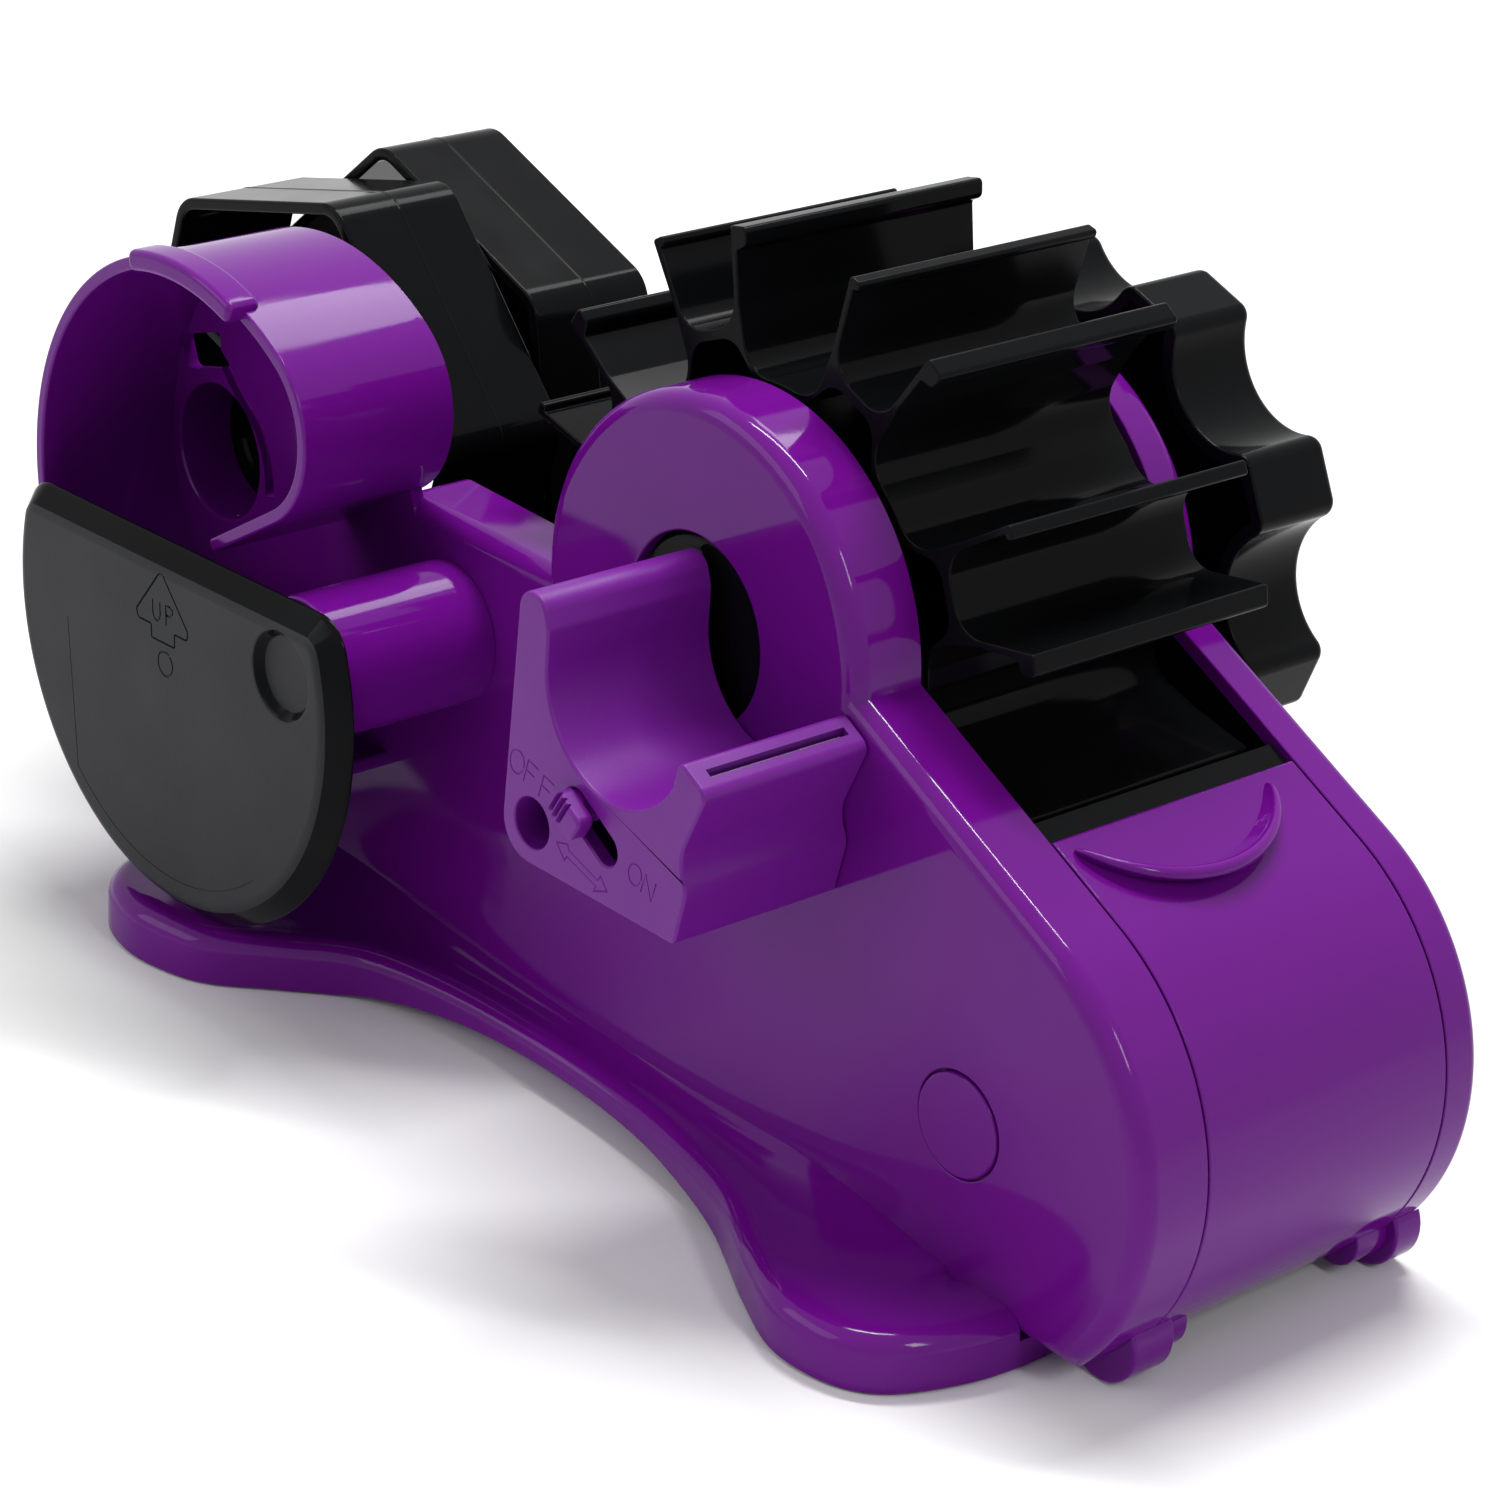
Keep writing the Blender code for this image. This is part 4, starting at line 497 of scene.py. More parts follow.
def nearShell():
    wall, face = body["wall"], body["nearWall"]
    piece = trayBody("nearShell", nearLoop, body["nearSeam"], face, shell["nearRounding"])
    edge = join([cupPath(0, False), [spindle - (0, 10)]])
    floor = sweptBody("floor", edge, [(0, face + cup["floorStep"]),
        (0, face + wall - cup["floorStep"])])
    ribbon = ribbonLoop(cupPath(cup["wall"] / 2), cup["wall"], cup["endRound"])
    rim = edgeSection(cup["front"], face + wall / 2, cup["rimEdge"], 0)
    side = sweptBody("side", ribbon, rim)
    thick = cup["wall"] + cup["catchRise"]
    bead = ribbonLoop(arcOf(cup["centre"], cup["radius"] + cup["catchRise"] - thick / 2,
        *cup["catch"]), thick, cup["catchCorner"])
    catch = sweptBody("catch", bead, edgeSection(cup["front"] - cup["catchReach"], cup["front"]
        + cup["catchReach"], cup["catchEdge"], cup["catchEdge"]))
    outer = shell["collar"] + shell["collarWall"]
    collar = turnedBody("collar", reel, [(outer, face + wall / 2), (outer, shell["collarEnd"]),
        (shell["collar"], shell["collarEnd"]), (shell["collar"], face + wall / 2)], False)
    place = cup["centre"] + towards(cup["pegAngle"], cup["radius"] - cup["wall"]
        - cup["pegRadius"] / 2)
    pin = discProfile(cup["pegRadius"], cup["pegFront"], face + wall / 2, cup["pegEdge"], 0)
    peg = turnedBody("peg", place, pin, steps=32)
    carve(piece, floor, side, catch, collar, peg, how="UNION")
    slot = ribbonLoop(smoothPath(aroundReel(cup["slotPath"]), 6), cup["slotWidth"],
        cup["slotCorner"])
    window = roundCorners(aroundReel(cup["windowCorners"]), cup["windowRounds"])
    through = [(0, face - 1), (0, face + cup["slotDepth"])]
    holes = ((boss, shell["journalHole"], 15, shell["holeEdge"]),
             (middleOf("near_plug"), plug["radius"] + shell["plugGap"], shell["plugDepth"], 0.2),
             (reel, shell["collar"], 3, 0.6),
             (middleOf("cradle_screw"), shell["screwHole"], 4, 0.3),
             (spindle, shell["spindleHole"], 4, 0.3))
    return carve(piece, *(holeTool(place, radius, face, 1, depth, flare)
                          for place, radius, depth, flare in holes),
                 sweptBody("slot", slot, through), sweptBody("window", window, through))


def farShell():
    wall, face = body["wall"], body["farWall"]
    piece = trayBody("farShell", farLoop, body["farSeam"], face, shell["farRounding"])
    bore = (spanOf("reel_axle")[1][2] - spanOf("reel_axle")[0][2]) / 2 + shell["axleGap"]
    root, end = face - wall / 2, body["farSeam"] + shell["tubeEnd"]
    tube = [(shell["tube"], root), (shell["tube"], end), (bore, end), (bore, root)]
    carve(piece, turnedBody("tube", reel, tube, False), how="UNION")
    return carve(piece, holeTool(boss, shell["journalHole"], face, -1, 15, shell["holeEdge"]),
        holeTool(middleOf("far_plug"), plug["radius"] + shell["plugGap"], face, -1,
        shell["plugDepth"], 0.2))


plug = {"radius": 6.9, "edge": 0.28}
settle(nearShell(), "purpleGloss", "housing", "near_shell")
settle(farShell(), "purpleGloss", "housing", "far_shell")
for name, node in (("nearPlug", "near_plug"), ("farPlug", "far_plug")):
    low, high = spanOf(node)[:, 1]
    button = turnedBody(name, middleOf(node), discProfile(plug["radius"], low, high,
        plug["edge"]))
    settle(button, "purpleGloss", "housing", node)
print("made the side shells")

# Nose panel, its crescent lip and the bay's floor

panel = {"topX": 54.8, "edge": 0.25}
lip = {"reach": 9.0, "halfWidth": 16.7, "rise": 3.2, "wall": 2.0, "flare": 2.2, "endShare": 0.15,
       "sunk": 1.0}
bay = {"radius": 52.0, "wall": 1.6, "endAngle": -122.0, "fall": 2.0, "edge": 0.15, "gap": 0.3}
middleY = (body["nearWall"] + body["farWall"]) / 2
panelHalf = body["farSeam"] - bay["gap"]


# The point of the slope at X, raised square to it.
def onSlope(x, height=0.0):
    slope = math.radians(body["slope"])
    nose = np.array(body["nose"])
    start = nose + body["noseRadius"] * np.array([math.sin(slope), math.cos(slope)])
    along = (start[0] - x) / math.cos(slope)
    return start + (along * np.array([-math.cos(slope), math.sin(slope)])
        + height * np.array([math.sin(slope), math.cos(slope)]))


def nosePanel():
    chin = math.degrees(math.asin((body["heel"][1] - body["nose"][1]) / body["noseRadius"]))
    outer, inner = (
        join([[onSlope(panel["topX"], -deep)], arcOf(body["nose"], body["noseRadius"] - deep,
        90 - body["slope"], chin, 2.0)]) for deep in (0.0, body["wall"]))
    loop = join([outer, inner[::-1]])
    loop = softCorners(loop, [(outer[0], 2 * panel["edge"]), (outer[-1], 2 * panel["edge"])])
    return sweptBody("nosePanel", loop, edgeSection(-panelHalf, panelHalf, panel["edge"]))


# A crescent wall on the slope. Its section, from the foot outside over a half circle to the
# foot inside, leans outwards and shrinks to both ends with the root of a sine.
def thumbLip(steps=72):
    radius = (lip["halfWidth"] ** 2 + lip["reach"] ** 2) / (2 * lip["reach"])
    share = np.linspace(-1, 1, steps + 1)[:, None]
    angle = share * math.asin(lip["halfWidth"] / radius)
    fade = lip["endShare"] + (1 - lip["endShare"]) * np.sqrt(np.cos(share * np.pi / 2).clip(0))
    turn = np.linspace(0, np.pi, 13)
    half = lip["wall"] / 2
    out = join([[0.0], lip["flare"] - half + half * np.cos(turn), [-lip["wall"]]])
    up = join([[0.0], lip["rise"] - half + half * np.sin(turn), [0.0]])
    out, up = out * fade, np.where(up > 0, up * fade, -lip["sunk"])
    crest = onSlope(panel["topX"] + body["wall"])
    core = crest[0] - (radius - lip["reach"])
    x = core + (radius + out) * np.cos(angle)
    y = middleY + (radius + out) * np.sin(angle)
    slope = math.radians(body["slope"])
    along = x - crest[0]
    points = np.stack([crest[0] + along * math.cos(slope) + up * math.sin(slope), y,
        crest[1] - along * math.sin(slope) + up * math.cos(slope)], 2)
    return gridBody("thumbLip", points)


def bayFloor():
    ledge = onSlope(panel["topX"] - bay["gap"], -body["wall"] / 2)
    run = towards(180 - body["slope"] - bay["fall"])
    gap = ledge - boss
    half = gap @ run
    back = ledge + run * (-half - math.sqrt(half ** 2 - gap @ gap + bay["radius"] ** 2))
    start = headingOf(back, boss)
    sweep = arcOf(boss, bay["radius"], bay["endAngle"], start, 2.0)
    foot = (sweep[0][0], body["heel"][1] + bay["gap"])
    loop = bandLoop(join([[foot], sweep, [ledge]]), bay["wall"])
    return sweptBody("bayFloor", loop, edgeSection(-panelHalf, panelHalf, bay["edge"]))


cover = nosePanel()
settle(carve(cover, thumbLip(), how="UNION"), "purpleGloss", "housing", "nose_panel")
settle(bayFloor(), "blackGloss", "housing", "bay_floor")
print("made the nose")

# Base

skirt = {
    "front": 69.0, "back": 96.5, "halfWidth": 60.65, "frontHalfWidth": 52.4, "lift": 0.3,
    "height": 13.0, "shoulder": 8.0, "shoulderRound": (3.0, 2.8), "junction": 24.2, "rise": 2.8,
    "backShares": ((-0.953, 0.00), (-0.972, 0.39), (-1.000, 0.70), (-0.992, 0.86), (-0.938, 0.960),
        (-0.850, 1.000), (-0.767, 0.983), (-0.699, 0.933), (-0.622, 0.808),
        (-0.539, 0.692), (-0.389, 0.630), (-0.192, 0.608)),
    "frontShares": ((0.000, 0.710), (0.180, 0.740), (0.370, 0.802), (0.540, 0.914), (0.690, 0.996),
        (0.819, 0.992), (0.913, 0.922), (0.971, 0.773), (1.000, 0.582), (0.996, 0.296),
        (0.985, 0.00)),
    "arch": (-56.0, 30.0), "archHeight": 4.2, "undersideRise": 2.2, "undersideWall": 3.0,
    "waist": 29.0, "inset": 0.12, "dipPower": 1.15, "rings": 15, "gap": 0.02,
}


# The base's outline in the plan: one half's shares of its lengths and widths, mirrored across
# the body's middle, with a smooth curve through them.
def baseOutline(steps=8):
    back = np.array(skirt["backShares"]) * (skirt["back"], skirt["halfWidth"])
    ahead = np.array(skirt["frontShares"]) * (skirt["front"], skirt["frontHalfWidth"])
    half = join([back, ahead])
    far, near = half + (0, middleY), half[1:-1][::-1] * (1, -1) + (0, middleY)
    return smoothPath(join([far, near]), steps, True)


# The housing's volume, grown by a gap, as a cutter.
def housingTool(loop, low, high, gap):
    return sweptBody("housing", loop, [(gap, low - gap), (gap, high + gap)])


def baseSkirt():
    loop = baseOutline()
    shift = outwardShift(loop)
    loop -= skirt["inset"] * shift
    wide, tall = skirt["shoulderRound"]
    turn = np.linspace(0, np.pi / 2, 9)
    section = join([[(-0.3, skirt["lift"]), (-0.09, skirt["lift"] + 0.09),
        (0, skirt["lift"] + 0.3)],
        np.stack([wide * (np.cos(turn) - 1), skirt["shoulder"] - tall * (1 - np.sin(turn))], 1)])
    rings = [np.column_stack([loop + out * shift, np.full(len(loop), z)]) for out, z in section]
    rim = rings[-1]
    inner = np.empty_like(rim)
    inner[:, 0] = np.clip(rim[:, 0], heel[0] + 2, body["nose"][0] + 2)
    inner[:, 1] = np.clip(rim[:, 1], body["nearWall"] + 2, body["farWall"] - 2)
    dip = np.clip((rim[:, 0] - skirt["junction"]) / (skirt["front"] - skirt["junction"]), 0, 1)
    dip **= skirt["dipPower"]
    inner[:, 2] = skirt["height"] + (heel[1] + 1 - skirt["height"]) * dip
    for share in np.linspace(0, 1, skirt["rings"])[1:]:
        ring = rim + (inner - rim) * share
        ring[:, 2] = rim[:, 2] + (inner[:, 2] - rim[:, 2]) * share ** skirt["rise"]
        rings.append(ring)
    piece = gridBody("baseSkirt", np.stack(rings))
    start, end = skirt["arch"]
    bow = ((end - start) ** 2 / 4 + skirt["archHeight"] ** 2) / (2 * skirt["archHeight"])
    half = math.degrees(math.asin((end - start) / 2 / bow))
    hump = arcOf(((start + end) / 2, skirt["lift"] + skirt["archHeight"] - bow), bow, 90 - half,
        90 + half, 0.5)
    hump = join([hump, [(start, -2), (end, -2)]])
    edge, far = skirt["waist"] + skirt["undersideWall"], skirt["halfWidth"] + 2
    inside = loop - skirt["undersideWall"] * shift
    past = np.maximum(np.maximum(start - inside[:, 0], inside[:, 0] - end), 0)
    limit = skirt["waist"] + 2 * past
    inside[:, 1] = middleY + np.clip(inside[:, 1] - middleY, -limit, limit)
    hollow = gridBody("hollow",
        np.stack([np.column_stack([inside, np.full(len(loop), z)])
        for z in (-2.0, skirt["undersideRise"])]))
    return carve(piece, housingTool(nearLoop, body["nearWall"], 0, skirt["gap"]),
        housingTool(farLoop, 0, body["farWall"], skirt["gap"]), hollow,
        sweptBody("arch", hump, [(0, middleY - far), (0, middleY - edge)]),
        sweptBody("arch", hump, [(0, middleY + edge), (0, middleY + far)]))


settle(baseSkirt(), "purpleGloss", "housing", "base_skirt", sharp=40)

foot = {"edge": 0.5, "ring": 4.6, "ringDepth": 0.25, "ringHalf": 0.5, "ringSlope": 0.1}
for i in range(1, 5):
    node = f"rubber_foot_{i}"
    low, high = spanOf(node)
    radius, place = (high[0] - low[0]) / 2, ((low + high) / 2)[:2]
    deep, edge = foot["ringDepth"], foot["edge"]
    inner, outer = foot["ring"] - foot["ringHalf"], foot["ring"] + foot["ringHalf"]
    profile = [(0, 0), (inner - foot["ringSlope"], 0), (inner, deep), (outer, deep),
               (outer + foot["ringSlope"], 0), (radius - edge, 0), (radius - edge / 4, edge / 4),
               (radius, edge), (radius, high[2]), (0, high[2])]
    settle(uprightBody(f"rubberFoot{i}", place, profile), "rubber", "housing", node)

hook = {"edge": 0.5, "core": 4.3, "radius": 6.0, "ahead": 22.6, "coreEdge": 0.3, "sunk": 40}
hookCentre = (body["nose"][0] + hook["ahead"], hook["radius"])
for name, node, side, width in (("nearHook", "near_front_hook", -1, 7.0),
        ("farHook", "far_front_hook", 1, 5.0)):
    low, high = spanOf(node)
    outer, inner = (low[1], high[1]) if side < 0 else (high[1], low[1])
    split = outer - side * width
    disc = turnedBody(name, hookCentre, discProfile(hook["radius"], min(outer, split),
        max(outer, split), hook["edge"]))
    core = turnedBody("core", hookCentre, discProfile(hook["core"], min(split + side, inner),
        max(split + side, inner), hook["coreEdge"], hook["coreEdge"]))
    loop = nearLoop if side < 0 else farLoop
    carve(disc, core, how="UNION")
    carve(disc, housingTool(loop, min(0, side * hook["sunk"]), max(0, side * hook["sunk"]),
        skirt["gap"]))
    settle(disc, "purpleGloss", "housing", node)
print("made the base")

# Spindle and keeper flap

roller = {"radius": 10.0, "edge": 0.5, "flapGap": 0.3, "wallGap": 0.05, "wallEdge": 0.1}
low, high = spanOf("roll_spindle")[:, 1]
near, far = spanOf("keeper_flap")[1][1] + roller["flapGap"], body["nearWall"] - roller["wallGap"]
pin = roller["radius"] / 2
profile = join([[(0, low), (pin, low), (pin, near)], edgeSection(near, far, roller["edge"],
    roller["wallEdge"]) + (roller["radius"], 0), [(pin, far), (pin, high), (0, high)]])
settle(turnedBody("rollSpindle", spindle, profile), "purpleGloss", "housing", "roll_spindle")

flap = {
    "radius": 39.4, "centre": (-27.0, -6.9), "chord": 14.8, "tilt": 3.7, "corner": 5.5,
    "chamfer": 3.0, "softness": 0.9, "recess": 6.3, "recessDepth": 1.3, "groove": 0.16,
    # the arrow's outline and the step line, from the flap's centre and before its tilt
    "arrow": ((0.0, 10.6), (6.2, 3.5), (6.0, 2.2), (2.9, 2.2), (2.9, 0.2), (-2.7, 0.2),
        (-2.7, 2.2), (-5.9, 2.2), (-6.3, 3.4)),
    "arrowRounds": (0.9, 0.7, 0.5, 0.3, 0.3, 0.3, 0.3, 0.6, 0.6), "arrowShift": (-0.4, 1.2),
    "letters": (((-2.6, 7.1), (-2.6, 5.2), (-2.3, 4.5), (-1.7, 4.2), (-1.1, 4.5), (-0.8, 5.2),
        (-0.8, 7.1)),
        ((0.6, 4.2), (0.6, 7.1), (1.6, 7.1), (2.2, 6.8), (2.2, 6.1), (1.6, 5.7),
        (0.6, 5.7))),
    "ring": ((0.1, -1.6), 1.75, 60, 410, 15), "stepLine": ((-24.5, -2.0), (-23.2, -24.0)),
    "stepInset": 5.8, "stepTurn": (226, 307, 3), "pivotGap": 0.4,
    # the wall of the recess, outwards from its radius and deep from the face
    "recessWall": ((0.3, -2), (0.3, 0), (0, 0.12), (-0.25, 0.4), (-0.75, 1.0), (-1.05, 1.3)),
}


# A disc cut by a chord, with both corners rounded, turned by the flap's tilt.
def flapOutline():
    inner, rise = flap["radius"] - flap["corner"], flap["chord"] - flap["corner"]
    reach = math.sqrt(inner ** 2 - rise ** 2)
    turn = math.degrees(math.asin(rise / inner))
    return tilted(join([arcOf((-reach, rise), flap["corner"], 90, 180 - turn, 6),
        arcOf((0, 0), flap["radius"], 180 - turn, 360 + turn, 2)[1:],
        arcOf((reach, rise), flap["corner"], turn, 90, 6)[1:]]))


# Points about the flap's centre, put in their place and tilted.
def tilted(points):
    angle = math.radians(flap["tilt"])
    x, z = np.asarray(points, float).T
    return spindle + flap["centre"] + np.stack([x * math.cos(angle) - z * math.sin(angle),
        x * math.sin(angle) + z * math.cos(angle)], 1)


def keeperFlap():
    face, back = spanOf("keeper_flap")[:, 1]
    cut, soft = flap["chamfer"], flap["softness"]
    section = np.array([(-cut - soft, face), (-cut - soft / 4, face + soft / 6),
        (-cut + soft / 2, face + soft / 2), (-soft / 2, face + cut - soft / 2),
        (-soft / 8, face + cut - soft / 8), (0, face + cut + 0.15), (0, back - 0.1),
        (-0.1, back)])
    piece = sweptBody("keeperFlap", flapOutline(), section)
    wall = np.array([(-flap["recess"], -2), *flap["recessWall"],
        (-flap["recess"], flap["recessDepth"])])
    wall += (flap["recess"], face)
    groove, inset = flap["groove"], flap["radius"] - flap["stepInset"]
    arrow = roundCorners(np.array(flap["arrow"]) + flap["arrowShift"], flap["arrowRounds"])
    step = join([flap["stepLine"], arcOf((0, 0), inset, *flap["stepTurn"])])
    carve(piece, turnedBody("recess", spindle, wall), grooveTool(tilted(arrow), face, groove,
        True), *(grooveTool(tilted(letter), face, groove) for letter in flap["letters"]),
        grooveTool(tilted(arcOf(*flap["ring"])), face, groove), grooveTool(tilted(step), face,
        groove / 2))
    pivot = roller["radius"] / 2 + flap["pivotGap"]
    return carve(piece, holeTool(spindle, pivot, back, -1, (back - face) / 2, 0.2))


# the bevel is glossier than the face, and the darker black it gets is painted shade on the bevel
# and on the other faces that do not face across Y
plate = settle(keeperFlap(), "blackMatte", "flap", "keeper_flap")
plate.data.materials.append(materials["blackGloss"])
facing = np.empty(3 * len(plate.data.polygons))
plate.data.polygons.foreach_get("normal", facing)
plate.data.polygons.foreach_set("material_index", (np.abs(facing[1::3]) < 0.9).astype(np.int32))
print("made the flap")

# Cutter cradle and its switch

cradle = {
    "uCentre": (16.4, 76.4), "uRadius": 13.1, "uEnd": 330.0, "edge": 0.45, "frontWall": 2.0,
    "backWall": 1.5, "roof": (285.0, 233.0), "engraving": 0.13,
    # the outline beside the U, clockwise from the U's right end, with each corner's radius
    "corners": ((28.7, 73.9), (34.1, 71.1), (29.6, 60.6), (31.6, 57.4), (29.9, 49.6), (-4.2, 48.5),
        (-2.5, 84.8), (2.0, 84.8), (3.3, 81.0)),
    "rounds": (0.9, 1.6, 5.5, 3.2, 0.9, 5.0, 2.4, 2.5, 2.5),
    "slitTop": (31.3, 72.5), "slitTilt": 20.0, "slitLength": 20.0, "slitWidth": 1.2,
    "slitMargin": 2.5,
    "slotStart": (10.2, 60.3), "slotAngle": -30.0, "travel": 7.0, "stem": 1.9,
    "headGap": 3.4, "baseLine": -15.0, "lipCorner": 1.2, "shaft": 1.8, "plateRim": 0.6,
    "cavity": ((7.6, 51.5), (28.1, 51.5), (28.1, 59.5)), "letterPitch": 0.98,
    "words": (("OFF", (-3.2, 60.3), 3.3), ("ON", (20.6, 54.8), 2.9)),
    "arrow": ((7.0, 53.9), (9.1, 54.5), (9.4, 53.8), (15.2, 52.1), (15.7, 52.9), (17.1, 51.4),
        (14.6, 50.4), (14.9, 51.2), (9.1, 52.8), (8.6, 52.1)),
}


# A straight strip with half-round ends about a line that leaves a place at an angle.
def capsuleLoop(start, angle, length, radius):
    end = start + towards(angle, length)
    return join([arcOf(end, radius, angle - 90, angle + 90, 10), arcOf(start, radius, angle + 90,
        angle + 270, 10)])


def cutterCradle():
    face, back = spanOf("cutter_cradle")[:, 1]
    sweep = arcOf(cradle["uCentre"], cradle["uRadius"], 180, cradle["uEnd"])
    loop = join([sweep, cradle["corners"]])
    loop = softCorners(loop, list(zip(cradle["corners"], cradle["rounds"]))
        + [(sweep[-1], cradle["lipCorner"])])
    piece = sweptBody("cutterCradle", loop, edgeSection(face, back, cradle["edge"], 0.1))
    inside = face + cradle["frontWall"]
    roof = arcOf(cradle["uCentre"], cradle["uRadius"] + cradle["backWall"], *cradle["roof"])
    cavity = join([cradle["cavity"], roof])
    up = towards(90 - cradle["slitTilt"])
    line = np.array(cradle["slitTop"]) + np.array([2.0, -cradle["slitLength"]])[:, None] * up
    slit = sweptBody("slit", ribbonLoop(line, cradle["slitWidth"]),
        [(0, face + cradle["slitMargin"]), (0, back - cradle["backWall"])])
    slot = sweptBody("slot", capsuleLoop(cradle["slotStart"], cradle["slotAngle"],
        cradle["travel"], cradle["stem"] + 0.3), [(0.25, face - 1), (0.25, face),
        (0, face + 0.25), (0, inside + 1)])
    screw = middleOf("cradle_screw")
    carve(piece, sweptBody("cavity", cavity, [(0, inside), (0, back + 2)]), slit, slot,
        holeTool(screw, cradle["headGap"], face, 1, back - cradle["backWall"] - face, 0.3),
        holeTool(screw, cradle["shaft"], face, 1, back + 2 - face, 0.0))
    return carve(piece, *cradleLetters(face))


# Grooves for the words and the double arrow, drawn in letter heights of one along a slanted
# base line.
def cradleLetters(face):
    along, up = towards(cradle["baseLine"]), towards(cradle["baseLine"] + 90)
    ring = arcOf((0.42, 0.5), 0.5, 0, 345, 15) * (0.84, 1.0) + (0.06, 0)
    letters = {"O": (ring,), "F": (((0.66, 1), (0, 1), (0, 0)), ((0, 0.55), (0.5, 0.55))),
        "N": (((0, 0), (0, 1), (0.72, 0), (0.72, 1)),)}
    tools = []
    for word, start, height in cradle["words"]:
        for i, letter in enumerate(word):
            base = np.array(start) + along * i * height * cradle["letterPitch"]
            for stroke in letters[letter]:
                flat = np.array(stroke) @ np.stack([along, up]) * height + base
                tools.append(grooveTool(flat, face, cradle["engraving"]))
    tools.append(grooveTool(cradle["arrow"], face, cradle["engraving"], True))
    return tools


settle(cutterCradle(), "purpleSatin", "housing", "cutter_cradle")

knob = {"length": 5.7, "width": 3.9, "rise": 2.4, "grooves": 3, "pitch": 0.95, "grooveWidth": 0.4,
        "edge": 0.5, "corner": 1.0, "gap": 0.3, "stemLength": 0.05, "stemEnd": 3.4,
        "plate": (2.6, 4.2), "first": 0.8}


def bladeSwitch():
    face = spanOf("cutter_cradle")[0][1] - knob["gap"]
    run = towards(cradle["slotAngle"])
    side = np.array([-run[1], run[0]])
    start = np.array(cradle["slotStart"])
    first = start - run * cradle["stem"]
    block = [first + run * a + side * b for a, b in ((0, -knob["width"] / 2),
        (knob["length"], -knob["width"] / 2), (knob["length"], knob["width"] / 2),
        (0, knob["width"] / 2))]
    piece = sweptBody("bladeSwitch", roundCorners(block, knob["corner"]),
        edgeSection(face - knob["rise"], face, knob["edge"], 0.2))
    stem = sweptBody("stem", capsuleLoop(start, cradle["slotAngle"], knob["stemLength"],
        cradle["stem"]), [(0, face - 1), (0, face + knob["stemEnd"])])
    plate = sweptBody("plate", capsuleLoop(start, cradle["slotAngle"], knob["stemLength"],
        cradle["stem"] + cradle["plateRim"]), [(0, face + end) for end in knob["plate"]])
    carve(piece, stem, plate, how="UNION")
    tools = []
    for i in range(knob["grooves"]):
        middle = first + run * knob["pitch"] * (i + knob["first"])
        line = middle + np.array([-1.0, 1.0])[:, None] * side * knob["width"]
        tools.append(sweptBody("ridge", ribbonLoop(line, knob["grooveWidth"]),
            [(0.2, face - knob["rise"] - 1), (0.2, face - knob["rise"]),
            (-0.1, face - knob["rise"] * 0.7)]))
    return carve(piece, *tools)


settle(bladeSwitch(), "purpleSatin", "switch", "blade_switch")
print("made the cradle")

# Tape wheel, journals and handwheel

vanes = {
    "periods": 8, "phase": 22.8, "radius": 49.4, "edge": 0.25, "hub": 12.0, "bore": 5.3,
    "web": 2.0, "hubEdge": 0.4, "flare": 0.3, "webSunk": 0.5,
    # one period: radius as a share, angle as a share of the half period, corner radius
    "outer": ((0.620, -1.000, 8.0), (0.625, -0.470, 4.6), (0.800, -0.418, 3.0), (0.935, -0.445,
        0.5),
        (0.950, -0.552, 1.1), (1.000, -0.560, 0.7), (1.000, -0.398, 0.5), (0.742, -0.340,
        4.4),
        (0.742, 0.355, 4.4), (0.972, 0.372, 0.3), (0.974, 0.325, 0.5), (1.000, 0.325, 0.5),
        (1.000, 0.428, 0.5), (0.800, 0.418, 3.0), (0.625, 0.470, 4.6)),
    "inner": ((0.590, -1.000, 8.0), (0.595, -0.620, 3.5), (0.712, -0.300, 3.5), (0.712, 0.300,
        3.5),
        (0.595, 0.620, 3.5)),
}


# A closed outline from one period repeated round the axle.
def repeatedOutline(period, steps=6):
    share, turn, rounds = np.array(period).T
    half = 180 / vanes["periods"]
    angle = np.radians(vanes["phase"] + half * (turn + 2 * np.arange(vanes["periods"])[:, None]))
    radius = vanes["radius"] * np.broadcast_to(share, angle.shape)
    loop = boss + np.stack([radius * np.cos(angle), radius * np.sin(angle)], 2).reshape(-1, 2)
    return roundCorners(loop, np.tile(rounds, vanes["periods"]), steps)


# A hub about an axis: a disc with rounded edges and a bore right through it.
def hubTube(centre, low, high, sizes):
    side = edgeSection(low, high, sizes["hubEdge"]) + (sizes["hub"], 0)
    bore = holeTool(centre, sizes["bore"], low, 1, high - low + 2, sizes["flare"])
    return carve(turnedBody("hub", centre, side), bore)


def tapeWheel():
    low, high = spanOf("tape_wheel")[:, 1]
    piece = sweptBody("tapeWheel", repeatedOutline(vanes["outer"]),
        edgeSection(low, high, vanes["edge"], vanes["edge"], 3))
    inner = repeatedOutline(vanes["inner"])
    carve(piece, sweptBody("inside", inner, [(0, low - 1), (0, high + 1)]))
    half = vanes["web"] / 2
    web = sweptBody("web", inner, [(vanes["webSunk"], -half), (vanes["webSunk"], half)])
    hub = hubTube(boss, low, high, vanes)
    return gather(piece, web, hub)


settle(tapeWheel(), "blackGloss", "wheel", "tape_wheel")

journal = {"edge": 0.6, "dish": 10.6, "depth": 0.3, "slope": 0.6}
settle(dishedDisc("nearJournal", "near_journal", boss, **journal), "blackGloss", "wheel",
    "near_journal")

handle = {"radius": 37.7, "wall": 1.8, "lobes": 8, "phase": 26.0, "scallop": 10.7, "out": 3.7,
          "lobeCorner": 2.2, "nearEdge": 0.4, "farEdge": 1.5, "hub": 9.0,
          "headGap": 3.4, "gap": 0.3, "headDepth": 2.0, "bore": 5.3, "boreStop": 3.3}


